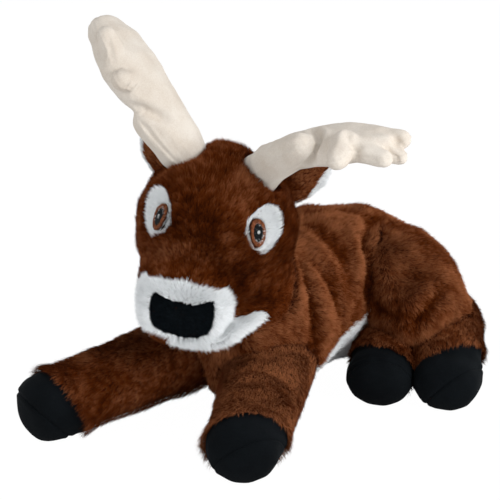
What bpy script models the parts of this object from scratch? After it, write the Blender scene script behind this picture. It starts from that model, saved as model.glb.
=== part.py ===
"""Plush deer lying down: stuffed body, head, legs and antlers, each a separate sewn piece.

Metres, +Z up. The deer faces -Y, its left side is +X, and the floor is z = 0. The origin is on the
floor under the chest. Every stuffed piece is a soft form: rings along a smooth spine, with round ends.
"""

import math

import bmesh
import bpy
import numpy as np
from mathutils import Matrix, Vector

# Gaps and cuts, in metres.
CLEARANCE = 0.0003
SWING_CLEARANCE = 0.0006
FLOOR_CUT = 0.0005
FLOOR_REACH_SHARE = 2.5
OVERRUN = 0.02
PANEL_DEPTH = 0.004
OUTLINE_STEPS = 20

# Body: the barrel of the chest, belly and rump, which bends to the left at the rear.
BODY_WIDTH = 0.168
BODY_LENGTH = 0.300
BODY_HEIGHT = 0.178
BODY_SIDES = 18
BODY_STEPS = 7
# Across, along, up, half width and half height.
body_row_shares = [
    (-0.05, -0.145, 0.440, 0.400, 0.440),
    (0.005, 0.060, 0.505, 0.490, 0.505),
    (0.00, 0.230, 0.537, 0.490, 0.497),
    (0.04, 0.400, 0.545, 0.500, 0.505),
    (0.15, 0.560, 0.500, 0.490, 0.500),
    (0.29, 0.670, 0.435, 0.430, 0.435),
    (0.42, 0.740, 0.370, 0.330, 0.345),
]
BODY_DOME_SHARES = (0.45, 0.80)

# White belly panel, let into the skin of the body from the chest to the groin.
BELLY_LENGTH = 0.170
BELLY_PANEL_WIDTH = 0.120
BELLY_TILT = 58.0
belly_middle_shares = (0.06, 0.370, 0.490)
# Towards the rear and up the left flank: the upper edge rises from the front leg to the haunch.
belly_outline_shares = [
    (-0.50, -0.05), (-0.38, 0.12), (-0.16, 0.26), (0.05, 0.38), (0.30, 0.46),
    (0.50, 0.30), (0.50, -0.20), (0.25, -0.55), (-0.10, -0.58), (-0.40, -0.40),
]

# Head: a round cranium with a boxy muzzle low on its front.
HEAD_WIDTH = 0.170
HEAD_LENGTH = 0.166
HEAD_HEIGHT = 0.180
HEAD_SIDES = 16
HEAD_STEPS = 5
HEAD_YAW = 24.0
HEAD_PITCH = 2.0
HEAD_ROLL = 7.0
HEAD_TURN_LIMIT = 10.0
head_place_shares = (-0.09, -0.150, 1.145)
# Forward, up, half width and half height, from the middle of the cranium.
cranium_row_shares = [
    (-0.35, 0.00, 0.350, 0.350),
    (-0.18, 0.00, 0.466, 0.466),
    (0.00, 0.00, 0.500, 0.500),
    (0.18, -0.01, 0.466, 0.470),
    (0.35, -0.02, 0.350, 0.360),
]
CRANIUM_DOME_SHARE = 0.44
# The neck is upright, so that it turns in place. Up from the middle of the cranium, and half width.
neck_row_shares = [
    (-0.10, 0.450),
    (-0.28, 0.470),
    (-0.44, 0.460),
]
NECK_DOME_SHARE = 0.30

MUZZLE_LENGTH = 0.080
MUZZLE_WIDTH = 0.096
MUZZLE_HEIGHT = 0.087
MUZZLE_SIDES = 12
MUZZLE_STEPS = 4
MUZZLE_ROOT_SHARE = 0.12
MUZZLE_DROP_SHARE = 0.285
# The nose sits a little to the right of the middle, as a stuffed face does.
MUZZLE_ASIDE_SHARE = -0.06
NOSE_ASIDE_SHARE = 0.04
# Forward, up, half width and half height.
muzzle_row_shares = [
    (0.00, 0.06, 0.640, 0.600),
    (0.35, 0.02, 0.590, 0.560),
    (0.70, -0.02, 0.520, 0.510),
    (1.00, -0.04, 0.450, 0.440),
]
MUZZLE_DOME_SHARE = 0.40
MUZZLE_SQUARENESS = 2.7

# Panels let into the muzzle: white band and black nose, as seen from the front.
NOSE_WIDTH = 0.062
NOSE_HEIGHT = 0.042
NOSE_UP_SHARE = -0.04
nose_outline_shares = [
    (-0.46, 0.52), (-0.20, 0.40), (0.20, 0.40), (0.46, 0.52), (0.52, 0.10), (0.44, -0.36),
    (0.10, -0.50), (-0.10, -0.50), (-0.44, -0.36), (-0.52, 0.10),
]
BAND_WIDTH = 0.097
BAND_HEIGHT = 0.062
band_outline_shares = [
    (-0.42, 0.42), (-0.15, 0.52), (0.15, 0.52), (0.42, 0.42), (0.53, 0.05), (0.50, -0.25),
    (0.36, -0.36), (0.12, -0.30), (-0.12, -0.30), (-0.36, -0.36), (-0.50, -0.25), (-0.53, 0.05),
]
BAND_UP_SHARE = -0.03

# White chin strip: a padded welt along the mouth, from cheek to cheek under the nose.
CHIN_THICKNESS = 0.0186
CHIN_SIDES = 10
CHIN_STEPS = 13
# Left, forward and up from the middle of the cranium, and the thickness there.
chin_row_shares = [
    (0.377, 0.247, -0.361, 0.80),
    (0.334, 0.373, -0.373, 0.95),
    (0.275, 0.488, -0.405, 1.00),
    (0.184, 0.590, -0.429, 1.00),
    (0.083, 0.620, -0.447, 1.00),
    (-0.014, 0.620, -0.447, 1.00),
    (-0.126, 0.590, -0.440, 0.95),
    (-0.249, 0.518, -0.444, 0.90),
    (-0.300, 0.400, -0.450, 0.70),
]
CHIN_DOME_SHARE = 0.90

# Eyes: a white plush patch, an embroidered iris and pupil, and a glint.
LEFT_EYE_OUT = 47.3
RIGHT_EYE_OUT = 42.0
EYE_UP = 20.0
EYE_PATCH_WIDTH = 0.052
EYE_PATCH_HEIGHT = 0.049
# Outwards and up, on the left eye.
eye_patch_outline_shares = [
    (-0.50, -0.04), (-0.34, 0.16), (-0.10, 0.42), (0.18, 0.50), (0.44, 0.36), (0.50, 0.04),
    (0.34, -0.28), (0.04, -0.50), (-0.16, -0.46), (-0.30, -0.18),
]
IRIS_WIDTH = 0.0195
IRIS_HEIGHT = 0.0285
PUPIL_WIDTH = 0.0125
PUPIL_HEIGHT = 0.0185
GLINT_WIDTH = 0.0042
IRIS_IN_SHARE = -0.15
IRIS_DOWN_SHARE = -0.02
PUPIL_IN_SHARE = -0.02
GLINT_UP_SHARE = 0.02
EYE_SIDES = 12
GLINT_SIDES = 6

# Ears: a plush leaf with a white lining, sewn behind each antler.
EAR_LENGTH = 0.074
EAR_WIDTH = 0.052
EAR_THICKNESS = 0.018
EAR_LINING_SHARE = 0.34
EAR_SIDES = 10
EAR_STEPS = 5
LEFT_EAR_TURN = 50.0
LEFT_EAR_LIFT = 50.0
RIGHT_EAR_TURN = 52.0
RIGHT_EAR_LIFT = 48.0
EAR_FLOP_LIMIT = 10.0
# Out, forward and up from the middle of the head.
ear_root_shares = (0.360, -0.270, 0.170)
# Along, half width and half thickness.
ear_row_shares = [
    (0.00, 0.26, 0.46),
    (0.22, 0.42, 0.50),
    (0.50, 0.50, 0.50),
    (0.76, 0.38, 0.44),
    (0.94, 0.17, 0.30),
]
EAR_DOME_SHARES = (0.50, 0.60)

# Antlers: a stem, a palm and blunt tines, stuffed and sewn along the edge. The first tine is the brow tine.
ANTLER_LENGTH = 0.180
ANTLER_WIDTH = 0.058
ANTLER_THICKNESS = 0.044
LEFT_ANTLER_BOW = 0.022
RIGHT_ANTLER_BOW = 0.013
ANTLER_SIDES = 10
ANTLER_STEPS = 7
TINE_SIDES = 7
TINE_STEPS = 3
ANTLER_SWAY_LIMIT = 8.0
LEFT_ANTLER_LEAN = 61.0
LEFT_ANTLER_SWEEP = 18.0
LEFT_ANTLER_TWIST = 2.0
RIGHT_ANTLER_LEAN = 42.0
RIGHT_ANTLER_SWEEP = -15.5
RIGHT_ANTLER_TWIST = -15.0
# Out, forward and up from the middle of the head.
antler_root_shares = (0.200, 0.010, 0.350)
# Along, to the front edge, share of the bow, half width and half thickness.
left_antler_row_shares = [
    (0.00, 0.00, 0.00, 0.40, 0.54),
    (0.18, -0.08, 0.52, 0.38, 0.44),
    (0.35, -0.18, 0.70, 0.45, 0.42),
    (0.58, -0.05, 0.59, 0.64, 0.41),
    (0.76, -0.03, 0.39, 0.57, 0.34),
    (0.88, -0.09, 0.15, 0.34, 0.25),
]
right_antler_row_shares = [
    (0.00, 0.00, 0.00, 0.40, 0.54),
    (0.21, 0.00, 0.55, 0.40, 0.48),
    (0.40, 0.07, 0.58, 0.47, 0.48),
    (0.61, 0.20, 0.31, 0.67, 0.57),
    (0.80, 0.10, 0.02, 0.60, 0.52),
    (0.95, 0.05, -0.42, 0.36, 0.36),
]
ANTLER_DOME_SHARES = (0.9, 0.7)
# Start and end of each tine, along, to the front and in the bow, and its thickness at both ends.
left_tine_shares = [
    ((0.13, 0.03, 0.49), (0.48, 0.48, 1.39), (1.00, 0.64)),
    ((0.71, 0.33, 0.91), (0.71, 0.77, 0.63), (0.68, 0.52)),
    ((0.75, 0.26, 0.41), (0.91, 0.42, -0.12), (0.52, 0.43)),
    ((0.81, 0.05, 0.23), (0.94, 0.09, -0.48), (0.45, 0.39)),
    ((0.81, -0.14, 0.41), (0.95, -0.19, -0.01), (0.50, 0.43)),
]
right_tine_shares = [
    ((0.11, 0.10, 0.24), (0.34, 0.36, -0.16), (1.09, 0.82)),
    ((0.58, 0.49, 0.71), (0.57, 0.94, 1.48), (0.64, 0.52)),
    ((0.69, 0.48, 0.51), (0.85, 0.68, 1.55), (0.64, 0.50)),
    ((0.84, 0.12, -0.53), (0.92, 0.25, -0.60), (0.60, 0.56)),
]
TINE_DOME_SHARE = 0.85

# Front legs: each is one stuffed tube with a brown leg, a black hoof and a black sole.
FRONT_LEG_REACH = 0.175
LEG_THICKNESS = 0.080
LEG_SIDES = 12
LEG_STEPS = 6
HOOF_LENGTH = 0.033
HOOF_TURN = 18.0
SOLE_DEPTH = 0.020
LEG_DOME_SHARE = 0.9
FRONT_LEG_LIMIT = 6.0
RIGHT_LEG_HEADING = -17.0
LEFT_LEG_HEADING = 24.5
right_shoulder_shares = (-0.365, -0.125, 0.29)
left_shoulder_shares = (0.175, -0.010, 0.29)
# Along the leg, half width and half height. The first row is the shoulder.
leg_row_shares = [
    (0.00, 0.600, 0.560),
    (0.30, 0.580, 0.530),
    (0.60, 0.550, 0.500),
    (0.80, 0.520, 0.480),
    (0.92, 0.500, 0.480),
    (1.07, 0.460, 0.450),
]

# Hind legs: a thigh sewn to the body, and a lower leg with its hoof and sole.
THIGH_WIDTH = 0.140
THIGH_HEIGHT = 0.128
THIGH_SIDES = 12
THIGH_STEPS = 5
# Across, along, up in body shares, then half width and half height in thigh shares.
left_thigh_row_shares = [
    (0.26, 0.585, 0.600, 0.440, 0.440),
    (0.46, 0.555, 0.575, 0.520, 0.495),
    (0.66, 0.510, 0.525, 0.460, 0.440),
    (0.87, 0.450, 0.440, 0.360, 0.350),
]
right_thigh_row_shares = [
    (0.20, 0.640, 0.420, 0.400, 0.440),
    (-0.02, 0.640, 0.400, 0.440, 0.450),
    (-0.22, 0.600, 0.370, 0.360, 0.380),
]
THIGH_DOME_SHARES = (0.5, 0.6)
left_shin_row_shares = [
    (0.780, 0.570, 0.350, 0.640, 0.620),
    (0.920, 0.505, 0.310, 0.610, 0.590),
    (1.020, 0.415, 0.235, 0.500, 0.460),
    (1.095, 0.375, 0.160, 0.475, 0.400),
    (1.145, 0.285, 0.150, 0.465, 0.390),
]
right_shin_row_shares = [
    (0.300, 0.600, 0.300, 0.540, 0.500),
    (0.560, 0.450, 0.260, 0.540, 0.480),
    (0.670, 0.320, 0.220, 0.480, 0.430),
    (0.710, 0.270, 0.160, 0.475, 0.400),
    (0.760, 0.180, 0.150, 0.465, 0.390),
]

# Tail, with its white underside.
TAIL_LENGTH = 0.062
TAIL_WIDTH = 0.038
TAIL_THICKNESS = 0.022
TAIL_SIDES = 8
TAIL_STEPS = 4
TAIL_LINING_SHARE = 0.36
TAIL_FLOP_LIMIT = 12.0
tail_root_shares = (0.36, 0.780, 0.56)
TAIL_HEADING = 152.0
TAIL_DROP = 30.0
tail_row_shares = [
    (0.00, 0.34, 0.46),
    (0.35, 0.50, 0.50),
    (0.70, 0.42, 0.42),
    (0.90, 0.24, 0.30),
]
TAIL_DOME_SHARES = (0.6, 0.7)

UP = Vector((0, 0, 1))
DOME_ANGLES = (90, 62, 32)


def colour(red, green, blue):
    """A screen colour from 0 to 255 as the linear colour that a shader takes."""
    return tuple(((c / 255 + 0.055) / 1.055) ** 2.4 for c in (red, green, blue)) + (1,)


def finish(name, base, roughness):
    """A material with one plain Principled shader."""
    made = bpy.data.materials.new(name)
    made.use_nodes = True
    shader = made.node_tree.nodes["Principled BSDF"]
    shader.inputs["Base Color"].default_value = base
    shader.inputs["Roughness"].default_value = roughness
    shader.inputs["Metallic"].default_value = 0
    made.diffuse_color = base
    return made


def catmull_rom(rows, steps, closed=False):
    """Points of a smooth curve through rows of numbers."""
    rows = np.array(rows, float)
    count = len(rows) if closed else len(rows) - 1
    points = []
    for at in np.linspace(0, count, steps, endpoint=not closed):
        k = min(int(at), count - 1)
        t = at - k
        if closed:
            a, b, c, d = (rows[(k + n) % len(rows)] for n in (-1, 0, 1, 2))
        else:
            b, c = rows[k], rows[k + 1]
            a = rows[k - 1] if k > 0 else 2 * b - c
            d = rows[k + 2] if k + 2 < len(rows) else 2 * c - b
        square = (2 * a - 5 * b + 4 * c - d) * t**2
        cube = (3 * b - a - 3 * c + d) * t**3
        points.append(0.5 * (2 * b + (c - a) * t + square + cube))
    return np.array(points)


class SoftForm:
    """A stuffed shape: rows of spine point, half width and half height, with domed ends."""

    def __init__(self, rows, sides, steps, domes, up=UP, squareness=2.0):
        self.rows = catmull_rom(rows, steps)
        self.sides = sides
        self.domes = domes
        self.up = up
        self.squareness = squareness

    def rings(self, grow):
        """Centre, width direction, height direction, half width and half height of every ring."""
        spine = [Vector(row[:3]) for row in self.rows]
        found = []
        for k, centre in enumerate(spine):
            along = (spine[min(k + 1, len(spine) - 1)] - spine[max(k - 1, 0)]).normalized()
            side = along.cross(self.up).normalized()
            height = side.cross(along)
            found.append((centre, side, height, self.rows[k][3] + grow, self.rows[k][4] + grow, along))
        for end, share in ((0, self.domes[0]), (-1, self.domes[1])):
            centre, side, height, half_width, half_height, along = found[end]
            reach = min(half_width, half_height) * share
            outward = -along if end == 0 else along
            dome = []
            for angle in DOME_ANGLES:
                size = math.cos(math.radians(angle))
                place = centre + outward * reach * math.sin(math.radians(angle))
                dome.append((place, side, height, half_width * size, half_height * size, along))
            found = dome + found if end == 0 else found + dome[::-1]
        return found

    def mesh(self, name, grow=0.0):
        """A closed mesh of the form, grown by a distance."""
        rings = self.rings(grow)
        form = bmesh.new()
        loops = []
        for centre, side, height, half_width, half_height, _ in rings[1:-1]:
            loop = []
            for k in range(self.sides):
                turn = 2 * math.pi * (k + 0.5) / self.sides
                c, s = math.cos(turn), math.sin(turn)
                power = 2 / self.squareness
                across = math.copysign(abs(c) ** power, c) * half_width
                rise = math.copysign(abs(s) ** power, s) * half_height
                loop.append(form.verts.new(centre + side * across + height * rise))
            loops.append(loop)
        for one, two in zip(loops, loops[1:]):
            for k in range(self.sides):
                n = (k + 1) % self.sides
                form.faces.new((one[k], one[n], two[n]))
                form.faces.new((one[k], two[n], two[k]))
        for loop, centre in ((loops[0], rings[0][0]), (loops[-1], rings[-1][0])):
            pole = form.verts.new(centre)
            for k in range(self.sides):
                form.faces.new((loop[k], pole, loop[(k + 1) % self.sides]))
        return close(form, name)

    def room(self, name, pivot, axis, limit):
        """A cutter as large as the form needs to turn about a pivot by a limit in degrees either way."""
        hull = bmesh.new()
        at_rest = self.mesh(name, SWING_CLEARANCE)
        for angle in (-limit, 0, limit):
            turn = Matrix.Rotation(math.radians(angle), 3, axis)
            for vertex in at_rest.vertices:
                hull.verts.new(turn @ (vertex.co - pivot) + pivot)
        bpy.data.meshes.remove(at_rest)
        bmesh.ops.remove_doubles(hull, verts=hull.verts, dist=CLEARANCE)
        made = bmesh.ops.convex_hull(hull, input=hull.verts)
        inner = [item for item in made["geom_interior"] if isinstance(item, bmesh.types.BMVert)]
        bmesh.ops.delete(hull, geom=inner, context="VERTS")
        return guide(name, close(hull, name))


def close(form, name):
    """A mesh from the form, with its faces pointing out."""
    bmesh.ops.recalc_face_normals(form, faces=form.faces)
    mesh = bpy.data.meshes.new(name)
    form.to_mesh(mesh)
    form.free()
    return mesh


def guide(name, mesh):
    """A cutter: an object that is used by a Boolean and never rendered."""
    made = bpy.data.objects.new(name, mesh)
    bpy.context.scene.collection.objects.link(made)
    made.hide_render = True
    made.display_type = "WIRE"
    return made


def piece(name, mesh, material, parent=None):
    """A sub-part with its own material, smooth and carried by its parent."""
    made = bpy.data.objects.new(name, mesh)
    bpy.context.scene.collection.objects.link(made)
    mesh.materials.append(material)
    mesh.shade_smooth()
    if parent:
        carry(made, parent)
    return made


def carry(made, parent):
    """Lets a parent carry an object that keeps its place."""
    made.parent = parent
    made.matrix_parent_inverse = parent.matrix_world.inverted()


def hinge(name, place, parent=None):
    """An empty on the axis of a joint."""
    made = bpy.data.objects.new(name, None)
    bpy.context.scene.collection.objects.link(made)
    made.location = place
    if parent:
        carry(made, parent)
    bpy.context.view_layer.update()
    return made


def boolean(target, cutter, operation="DIFFERENCE"):
    """Cuts, joins or keeps with another object."""
    step = target.modifiers.new(cutter.name, "BOOLEAN")
    step.operation = operation
    step.object = cutter
    step.solver = "EXACT"


def prism(name, outline, frame, inside, outside, grow=0.0):
    """A solid behind a closed outline, from inside to outside of a middle point along a direction."""
    middle, across, rise, out = frame
    outline = np.array(outline)
    tangent = np.roll(outline, -1, axis=0) - np.roll(outline, 1, axis=0)
    normal = np.stack([tangent[:, 1], -tangent[:, 0]], axis=1)
    normal /= np.linalg.norm(normal, axis=1)[:, None]
    area = np.sum(outline[:, 0] * np.roll(outline[:, 1], -1) - outline[:, 1] * np.roll(outline[:, 0], -1))
    outline = outline + normal * grow * math.copysign(1, area)
    form = bmesh.new()
    ends = []
    for depth in (-inside, outside):
        ends.append([form.verts.new(middle + across * x + rise * y + out * depth) for x, y in outline])
    count = len(outline)
    for k in range(count):
        n = (k + 1) % count
        form.faces.new((ends[0][k], ends[0][n], ends[1][n], ends[1][k]))
    form.faces.new(ends[0])
    form.faces.new(ends[1])
    return guide(name, close(form, name))


def below_floor(name, reach):
    """A block that fills the space under the floor, as far out as the reach."""
    form = bmesh.new()
    bmesh.ops.create_cube(form, size=2 * reach)
    bmesh.ops.translate(form, verts=form.verts, vec=(0, 0, -reach))
    return guide(name, close(form, name))


def slice_mesh(mesh, name, start, end, heading):
    """The part of a mesh between two points along a direction, with flat closed ends."""
    form = bmesh.new()
    form.from_mesh(mesh)
    for place, sign in ((start, -1), (end, 1)):
        if place is None:
            continue
        everything = form.verts[:] + form.edges[:] + form.faces[:]
        plane = {"plane_co": place, "plane_no": heading * sign, "clear_outer": True}
        cut = bmesh.ops.bisect_plane(form, geom=everything, **plane)
        edges = [item for item in cut["geom_cut"] if isinstance(item, bmesh.types.BMEdge)]
        bmesh.ops.contextual_create(form, geom=edges)
    return close(form, name)


def on_body(shares):
    """A place given in shares of the body's width, length and height."""
    return Vector((shares[0] * BODY_WIDTH, shares[1] * BODY_LENGTH, shares[2] * BODY_HEIGHT))


def oval(width, height, sides):
    """The outline of an oval."""
    turns = [2 * math.pi * k / sides for k in range(sides)]
    return [(math.cos(t) * width / 2, math.sin(t) * height / 2) for t in turns]


def smooth_outline(shares, width, height, steps, mirror=1):
    """A smooth closed outline through points given in shares of a width and a height."""
    return [(x * width * mirror, y * height) for x, y in catmull_rom(shares, steps, closed=True)]


def settle(half_height, sides):
    """How far a form sinks so that its lowest facet lies just under the floor."""
    return half_height * (1 - math.cos(math.pi / sides)) + FLOOR_CUT


def body_form():
    rows = []
    for across, along, up, half_width, half_height in body_row_shares:
        place = on_body((across, along, up))
        place.z -= settle(half_height * BODY_HEIGHT, BODY_SIDES)
        rows.append((*place, half_width * BODY_WIDTH, half_height * BODY_HEIGHT))
    return SoftForm(rows, BODY_SIDES, BODY_STEPS, BODY_DOME_SHARES)


def head_axes():
    """Left, forward and up of the head."""
    yaw, pitch, roll = (math.radians(a) for a in (HEAD_YAW, HEAD_PITCH, HEAD_ROLL))
    forward = Vector((math.sin(yaw) * math.cos(pitch), -math.cos(yaw) * math.cos(pitch), -math.sin(pitch)))
    left = Vector((math.cos(yaw), math.sin(yaw), 0))
    up = forward.cross(left)
    return left * math.cos(roll) - up * math.sin(roll), forward, left * math.sin(roll) + up * math.cos(roll)


LEFT, FORWARD, HEAD_UP = head_axes()
HEAD_MIDDLE = on_body(head_place_shares)


def on_head(left, forward, up):
    """A place given in metres from the middle of the cranium."""
    return HEAD_MIDDLE + LEFT * left + FORWARD * forward + HEAD_UP * up


def cranium_form():
    rows = []
    for forward, up, half_width, half_height in cranium_row_shares:
        place = on_head(0, forward * HEAD_LENGTH, up * HEAD_HEIGHT)
        rows.append((*place, half_width * HEAD_WIDTH, half_height * HEAD_HEIGHT))
    domes = (CRANIUM_DOME_SHARE, CRANIUM_DOME_SHARE)
    return SoftForm(rows, HEAD_SIDES, HEAD_STEPS, domes, up=HEAD_UP)


def neck_form():
    rows = []
    for up, half_width in neck_row_shares:
        radius = half_width * HEAD_WIDTH
        rows.append((*(HEAD_MIDDLE + UP * up * HEAD_HEIGHT), radius, radius))
    return SoftForm(rows, HEAD_SIDES, len(rows), (NECK_DOME_SHARE, NECK_DOME_SHARE), up=FORWARD)


def muzzle_form():
    root = MUZZLE_ROOT_SHARE * HEAD_LENGTH
    drop = -MUZZLE_DROP_SHARE * HEAD_HEIGHT
    rows = []
    for forward, up, half_width, half_height in muzzle_row_shares:
        aside = MUZZLE_ASIDE_SHARE * HEAD_WIDTH
        place = on_head(aside, root + forward * MUZZLE_LENGTH, drop + up * MUZZLE_HEIGHT)
        rows.append((*place, half_width * MUZZLE_WIDTH, half_height * MUZZLE_HEIGHT))
    domes = (MUZZLE_DOME_SHARE, MUZZLE_DOME_SHARE)
    return SoftForm(rows, MUZZLE_SIDES, MUZZLE_STEPS, domes, up=HEAD_UP, squareness=MUZZLE_SQUARENESS)


def chin_form():
    rows = []
    for left, forward, up, thick in chin_row_shares:
        place = on_head(left * HEAD_WIDTH, forward * HEAD_LENGTH, up * HEAD_HEIGHT)
        radius = thick * CHIN_THICKNESS / 2
        rows.append((*place, radius, radius))
    return SoftForm(rows, CHIN_SIDES, CHIN_STEPS, (CHIN_DOME_SHARE, CHIN_DOME_SHARE), up=HEAD_UP)


def panel(name, form, outline, frame, reach, material, parent, hole=None):
    """A piece of skin: the outer layer of a form behind an outline, with a hole for the piece inside it."""
    made = piece(name, form.mesh(name), material, parent)
    boolean(made, prism(name + "_edge", outline, frame, *reach), "INTERSECT")
    boolean(made, guide(name + "_core", form.mesh(name + "_core", grow=-PANEL_DEPTH)))
    if hole:
        boolean(made, hole)
    return made


def let_in(carrier, name, form, reach, places):
    """Cuts the carrier back where panels of a form lie, with a gap round them and behind them."""
    inside, outside = reach
    pockets = []
    for number, (outline, frame) in enumerate(places):
        edge = f"{name}_pocket_{number}"
        pockets.append(prism(edge, outline, frame, inside + CLEARANCE, outside, grow=CLEARANCE))
    for pocket in pockets[1:]:
        boolean(pockets[0], pocket, "UNION")
    core = form.mesh(name + "_pocket_core", grow=-PANEL_DEPTH - CLEARANCE)
    boolean(pockets[0], guide(name + "_pocket_core", core))
    boolean(carrier, pockets[0])
    return pockets[0]


def make_head(skins, turn):
    cranium, muzzle = cranium_form(), muzzle_form()
    head = piece("head", cranium.mesh("head"), skins["brown"], turn)
    boolean(head, guide("neck_join", neck_form().mesh("neck_join")), "UNION")
    boolean(head, guide("muzzle_join", muzzle.mesh("muzzle_join")), "UNION")
    make_muzzle_panels(head, muzzle, skins, turn)
    for side, mirror, eye_out in (("left", 1, LEFT_EYE_OUT), ("right", -1, RIGHT_EYE_OUT)):
        make_eye(head, cranium, skins, turn, side, mirror, eye_out)
    return head


def make_muzzle_panels(head, muzzle, skins, turn):
    front = MUZZLE_ROOT_SHARE * HEAD_LENGTH + MUZZLE_LENGTH
    drop = -MUZZLE_DROP_SHARE * HEAD_HEIGHT
    middle = on_head(MUZZLE_ASIDE_SHARE * HEAD_WIDTH, front, drop)
    reach = (OVERRUN, OVERRUN + MUZZLE_LENGTH * MUZZLE_DOME_SHARE)
    places = {}
    for name, outline_shares, width, height, aside_share, up_share in (
        ("nose_patch", nose_outline_shares, NOSE_WIDTH, NOSE_HEIGHT, NOSE_ASIDE_SHARE, NOSE_UP_SHARE),
        ("muzzle_band", band_outline_shares, BAND_WIDTH, BAND_HEIGHT, 0, BAND_UP_SHARE),
    ):
        place = middle + LEFT * aside_share * MUZZLE_WIDTH + HEAD_UP * up_share * MUZZLE_HEIGHT
        outline = smooth_outline(outline_shares, width, height, OUTLINE_STEPS)
        places[name] = (outline, (place, LEFT, HEAD_UP, FORWARD))
    nose_hole = prism("nose_hole", *places["nose_patch"], *reach, grow=CLEARANCE)
    panel("nose_patch", muzzle, *places["nose_patch"], reach, skins["nose"], turn)
    panel("muzzle_band", muzzle, *places["muzzle_band"], reach, skins["white"], turn, nose_hole)
    pocket = let_in(head, "muzzle", muzzle, reach, places.values())
    chin = chin_form()
    strip = piece("chin_band", chin.mesh("chin_band"), skins["white"], turn)
    boolean(strip, pocket)
    boolean(head, guide("chin_groove", chin.mesh("chin_groove", CLEARANCE)))


def make_eye(head, cranium, skins, turn, side, mirror, eye_out):
    out, lift = math.radians(eye_out), math.radians(EYE_UP)
    level = FORWARD * math.cos(out) + LEFT * math.sin(out) * mirror
    direction = level * math.cos(lift) + HEAD_UP * math.sin(lift)
    across = HEAD_UP.cross(direction).normalized() * mirror
    rise = (HEAD_UP - direction * HEAD_UP.dot(direction)).normalized()
    middle = HEAD_MIDDLE + direction * HEAD_WIDTH / 2
    frame = (middle, across, rise, direction)
    reach = (OVERRUN, OVERRUN)
    patch = smooth_outline(eye_patch_outline_shares, EYE_PATCH_WIDTH, EYE_PATCH_HEIGHT, OUTLINE_STEPS)
    iris_middle = middle + across * IRIS_IN_SHARE * EYE_PATCH_WIDTH
    iris_middle += rise * IRIS_DOWN_SHARE * EYE_PATCH_HEIGHT
    iris_frame = (iris_middle, across, rise, direction)
    pupil_frame = (iris_middle + across * PUPIL_IN_SHARE * IRIS_WIDTH, across, rise, direction)
    glint_frame = (iris_middle + rise * GLINT_UP_SHARE * IRIS_HEIGHT, across, rise, direction)
    outlines = {
        "iris": (oval(IRIS_WIDTH, IRIS_HEIGHT, EYE_SIDES), iris_frame),
        "pupil": (oval(PUPIL_WIDTH, PUPIL_HEIGHT, EYE_SIDES), pupil_frame),
        "eye_glint": (oval(GLINT_WIDTH, GLINT_WIDTH, GLINT_SIDES), glint_frame),
    }
    holes = {}
    for name, (outline, place) in outlines.items():
        holes[name] = prism(f"{side}_{name}_hole", outline, place, *reach, grow=CLEARANCE)
    panel(f"{side}_eye_patch", cranium, patch, frame, reach, skins["white"], turn, holes["iris"])
    let_in(head, f"{side}_eye", cranium, reach, [(patch, frame)])
    layers = (("iris", "pupil"), ("pupil", "eye_glint"), ("eye_glint", None))
    for name, inner in layers:
        outline, place = outlines[name]
        panel(f"{side}_{name}", cranium, outline, place, reach, skins[name], turn, holes.get(inner))


def limb_frame(heading, drop=0.0):
    """The direction of a limb that points at an angle from -Y towards +X, and down."""
    h, d = math.radians(heading), math.radians(drop)
    return Vector((math.sin(h) * math.cos(d), -math.cos(h) * math.cos(d), -math.sin(d)))


def hoofed_limb(prefix, form, skins, parent, floor, names, hoof_turn=0):
    """Slices one stuffed limb into the leg, the hoof and the sole, at seams that may be turned."""
    rows = form.rows
    end = Vector(rows[-1][:3])
    along = (end - Vector(rows[-3][:3])).normalized()
    seam = end - along * HOOF_LENGTH
    along = Matrix.Rotation(math.radians(hoof_turn), 3, "Z") @ along
    spans = ((None, seam - along * CLEARANCE), (seam, end), (end + along * CLEARANCE, None))
    whole = form.mesh(prefix)
    pieces = []
    for name, span, skin in zip(names, spans, ("brown", "black", "black")):
        made = piece(name, slice_mesh(whole, name, *span, along), skins[skin], parent)
        boolean(made, floor)
        pieces.append(made)
    return pieces


def leg_form(rows):
    """A leg with a round root and a sole of the given depth."""
    sole_share = SOLE_DEPTH / min(rows[-1][3:])
    return SoftForm(rows, LEG_SIDES, LEG_STEPS, (LEG_DOME_SHARE, sole_share))


def front_leg_form(shoulder_shares, heading):
    root = on_body(shoulder_shares)
    hoof_height = LEG_THICKNESS * leg_row_shares[-1][2]
    along = limb_frame(heading)
    rows = []
    for reach, half_width, half_height in leg_row_shares:
        place = root + along * reach * FRONT_LEG_REACH
        place.z = max(root.z + (hoof_height - root.z) * reach, half_height * LEG_THICKNESS)
        place.z -= settle(half_height * LEG_THICKNESS, LEG_SIDES)
        rows.append((*place, half_width * LEG_THICKNESS, half_height * LEG_THICKNESS))
    return leg_form(rows)


def shin_form(shares):
    rows = []
    for across, along, up, half_width, half_height in shares:
        place = on_body((across, along, up))
        place.z = max(place.z, half_height * LEG_THICKNESS) - settle(half_height * LEG_THICKNESS, LEG_SIDES)
        rows.append((*place, half_width * LEG_THICKNESS, half_height * LEG_THICKNESS))
    return leg_form(rows)


def thigh_form(shares):
    rows = []
    for across, along, up, half_width, half_height in shares:
        place = on_body((across, along, up))
        rows.append((*place, half_width * THIGH_WIDTH, half_height * THIGH_HEIGHT))
    return SoftForm(rows, THIGH_SIDES, THIGH_STEPS, THIGH_DOME_SHARES)


def ear_axes(mirror, turn, lift):
    """The direction of an ear and the direction that its brown side faces."""
    t, a = math.radians(turn), math.radians(lift)
    out = (LEFT * mirror * math.sin(t) - FORWARD * math.cos(t)) * math.cos(a) + HEAD_UP * math.sin(a)
    return out, (FORWARD - out * FORWARD.dot(out)).normalized()


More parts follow.
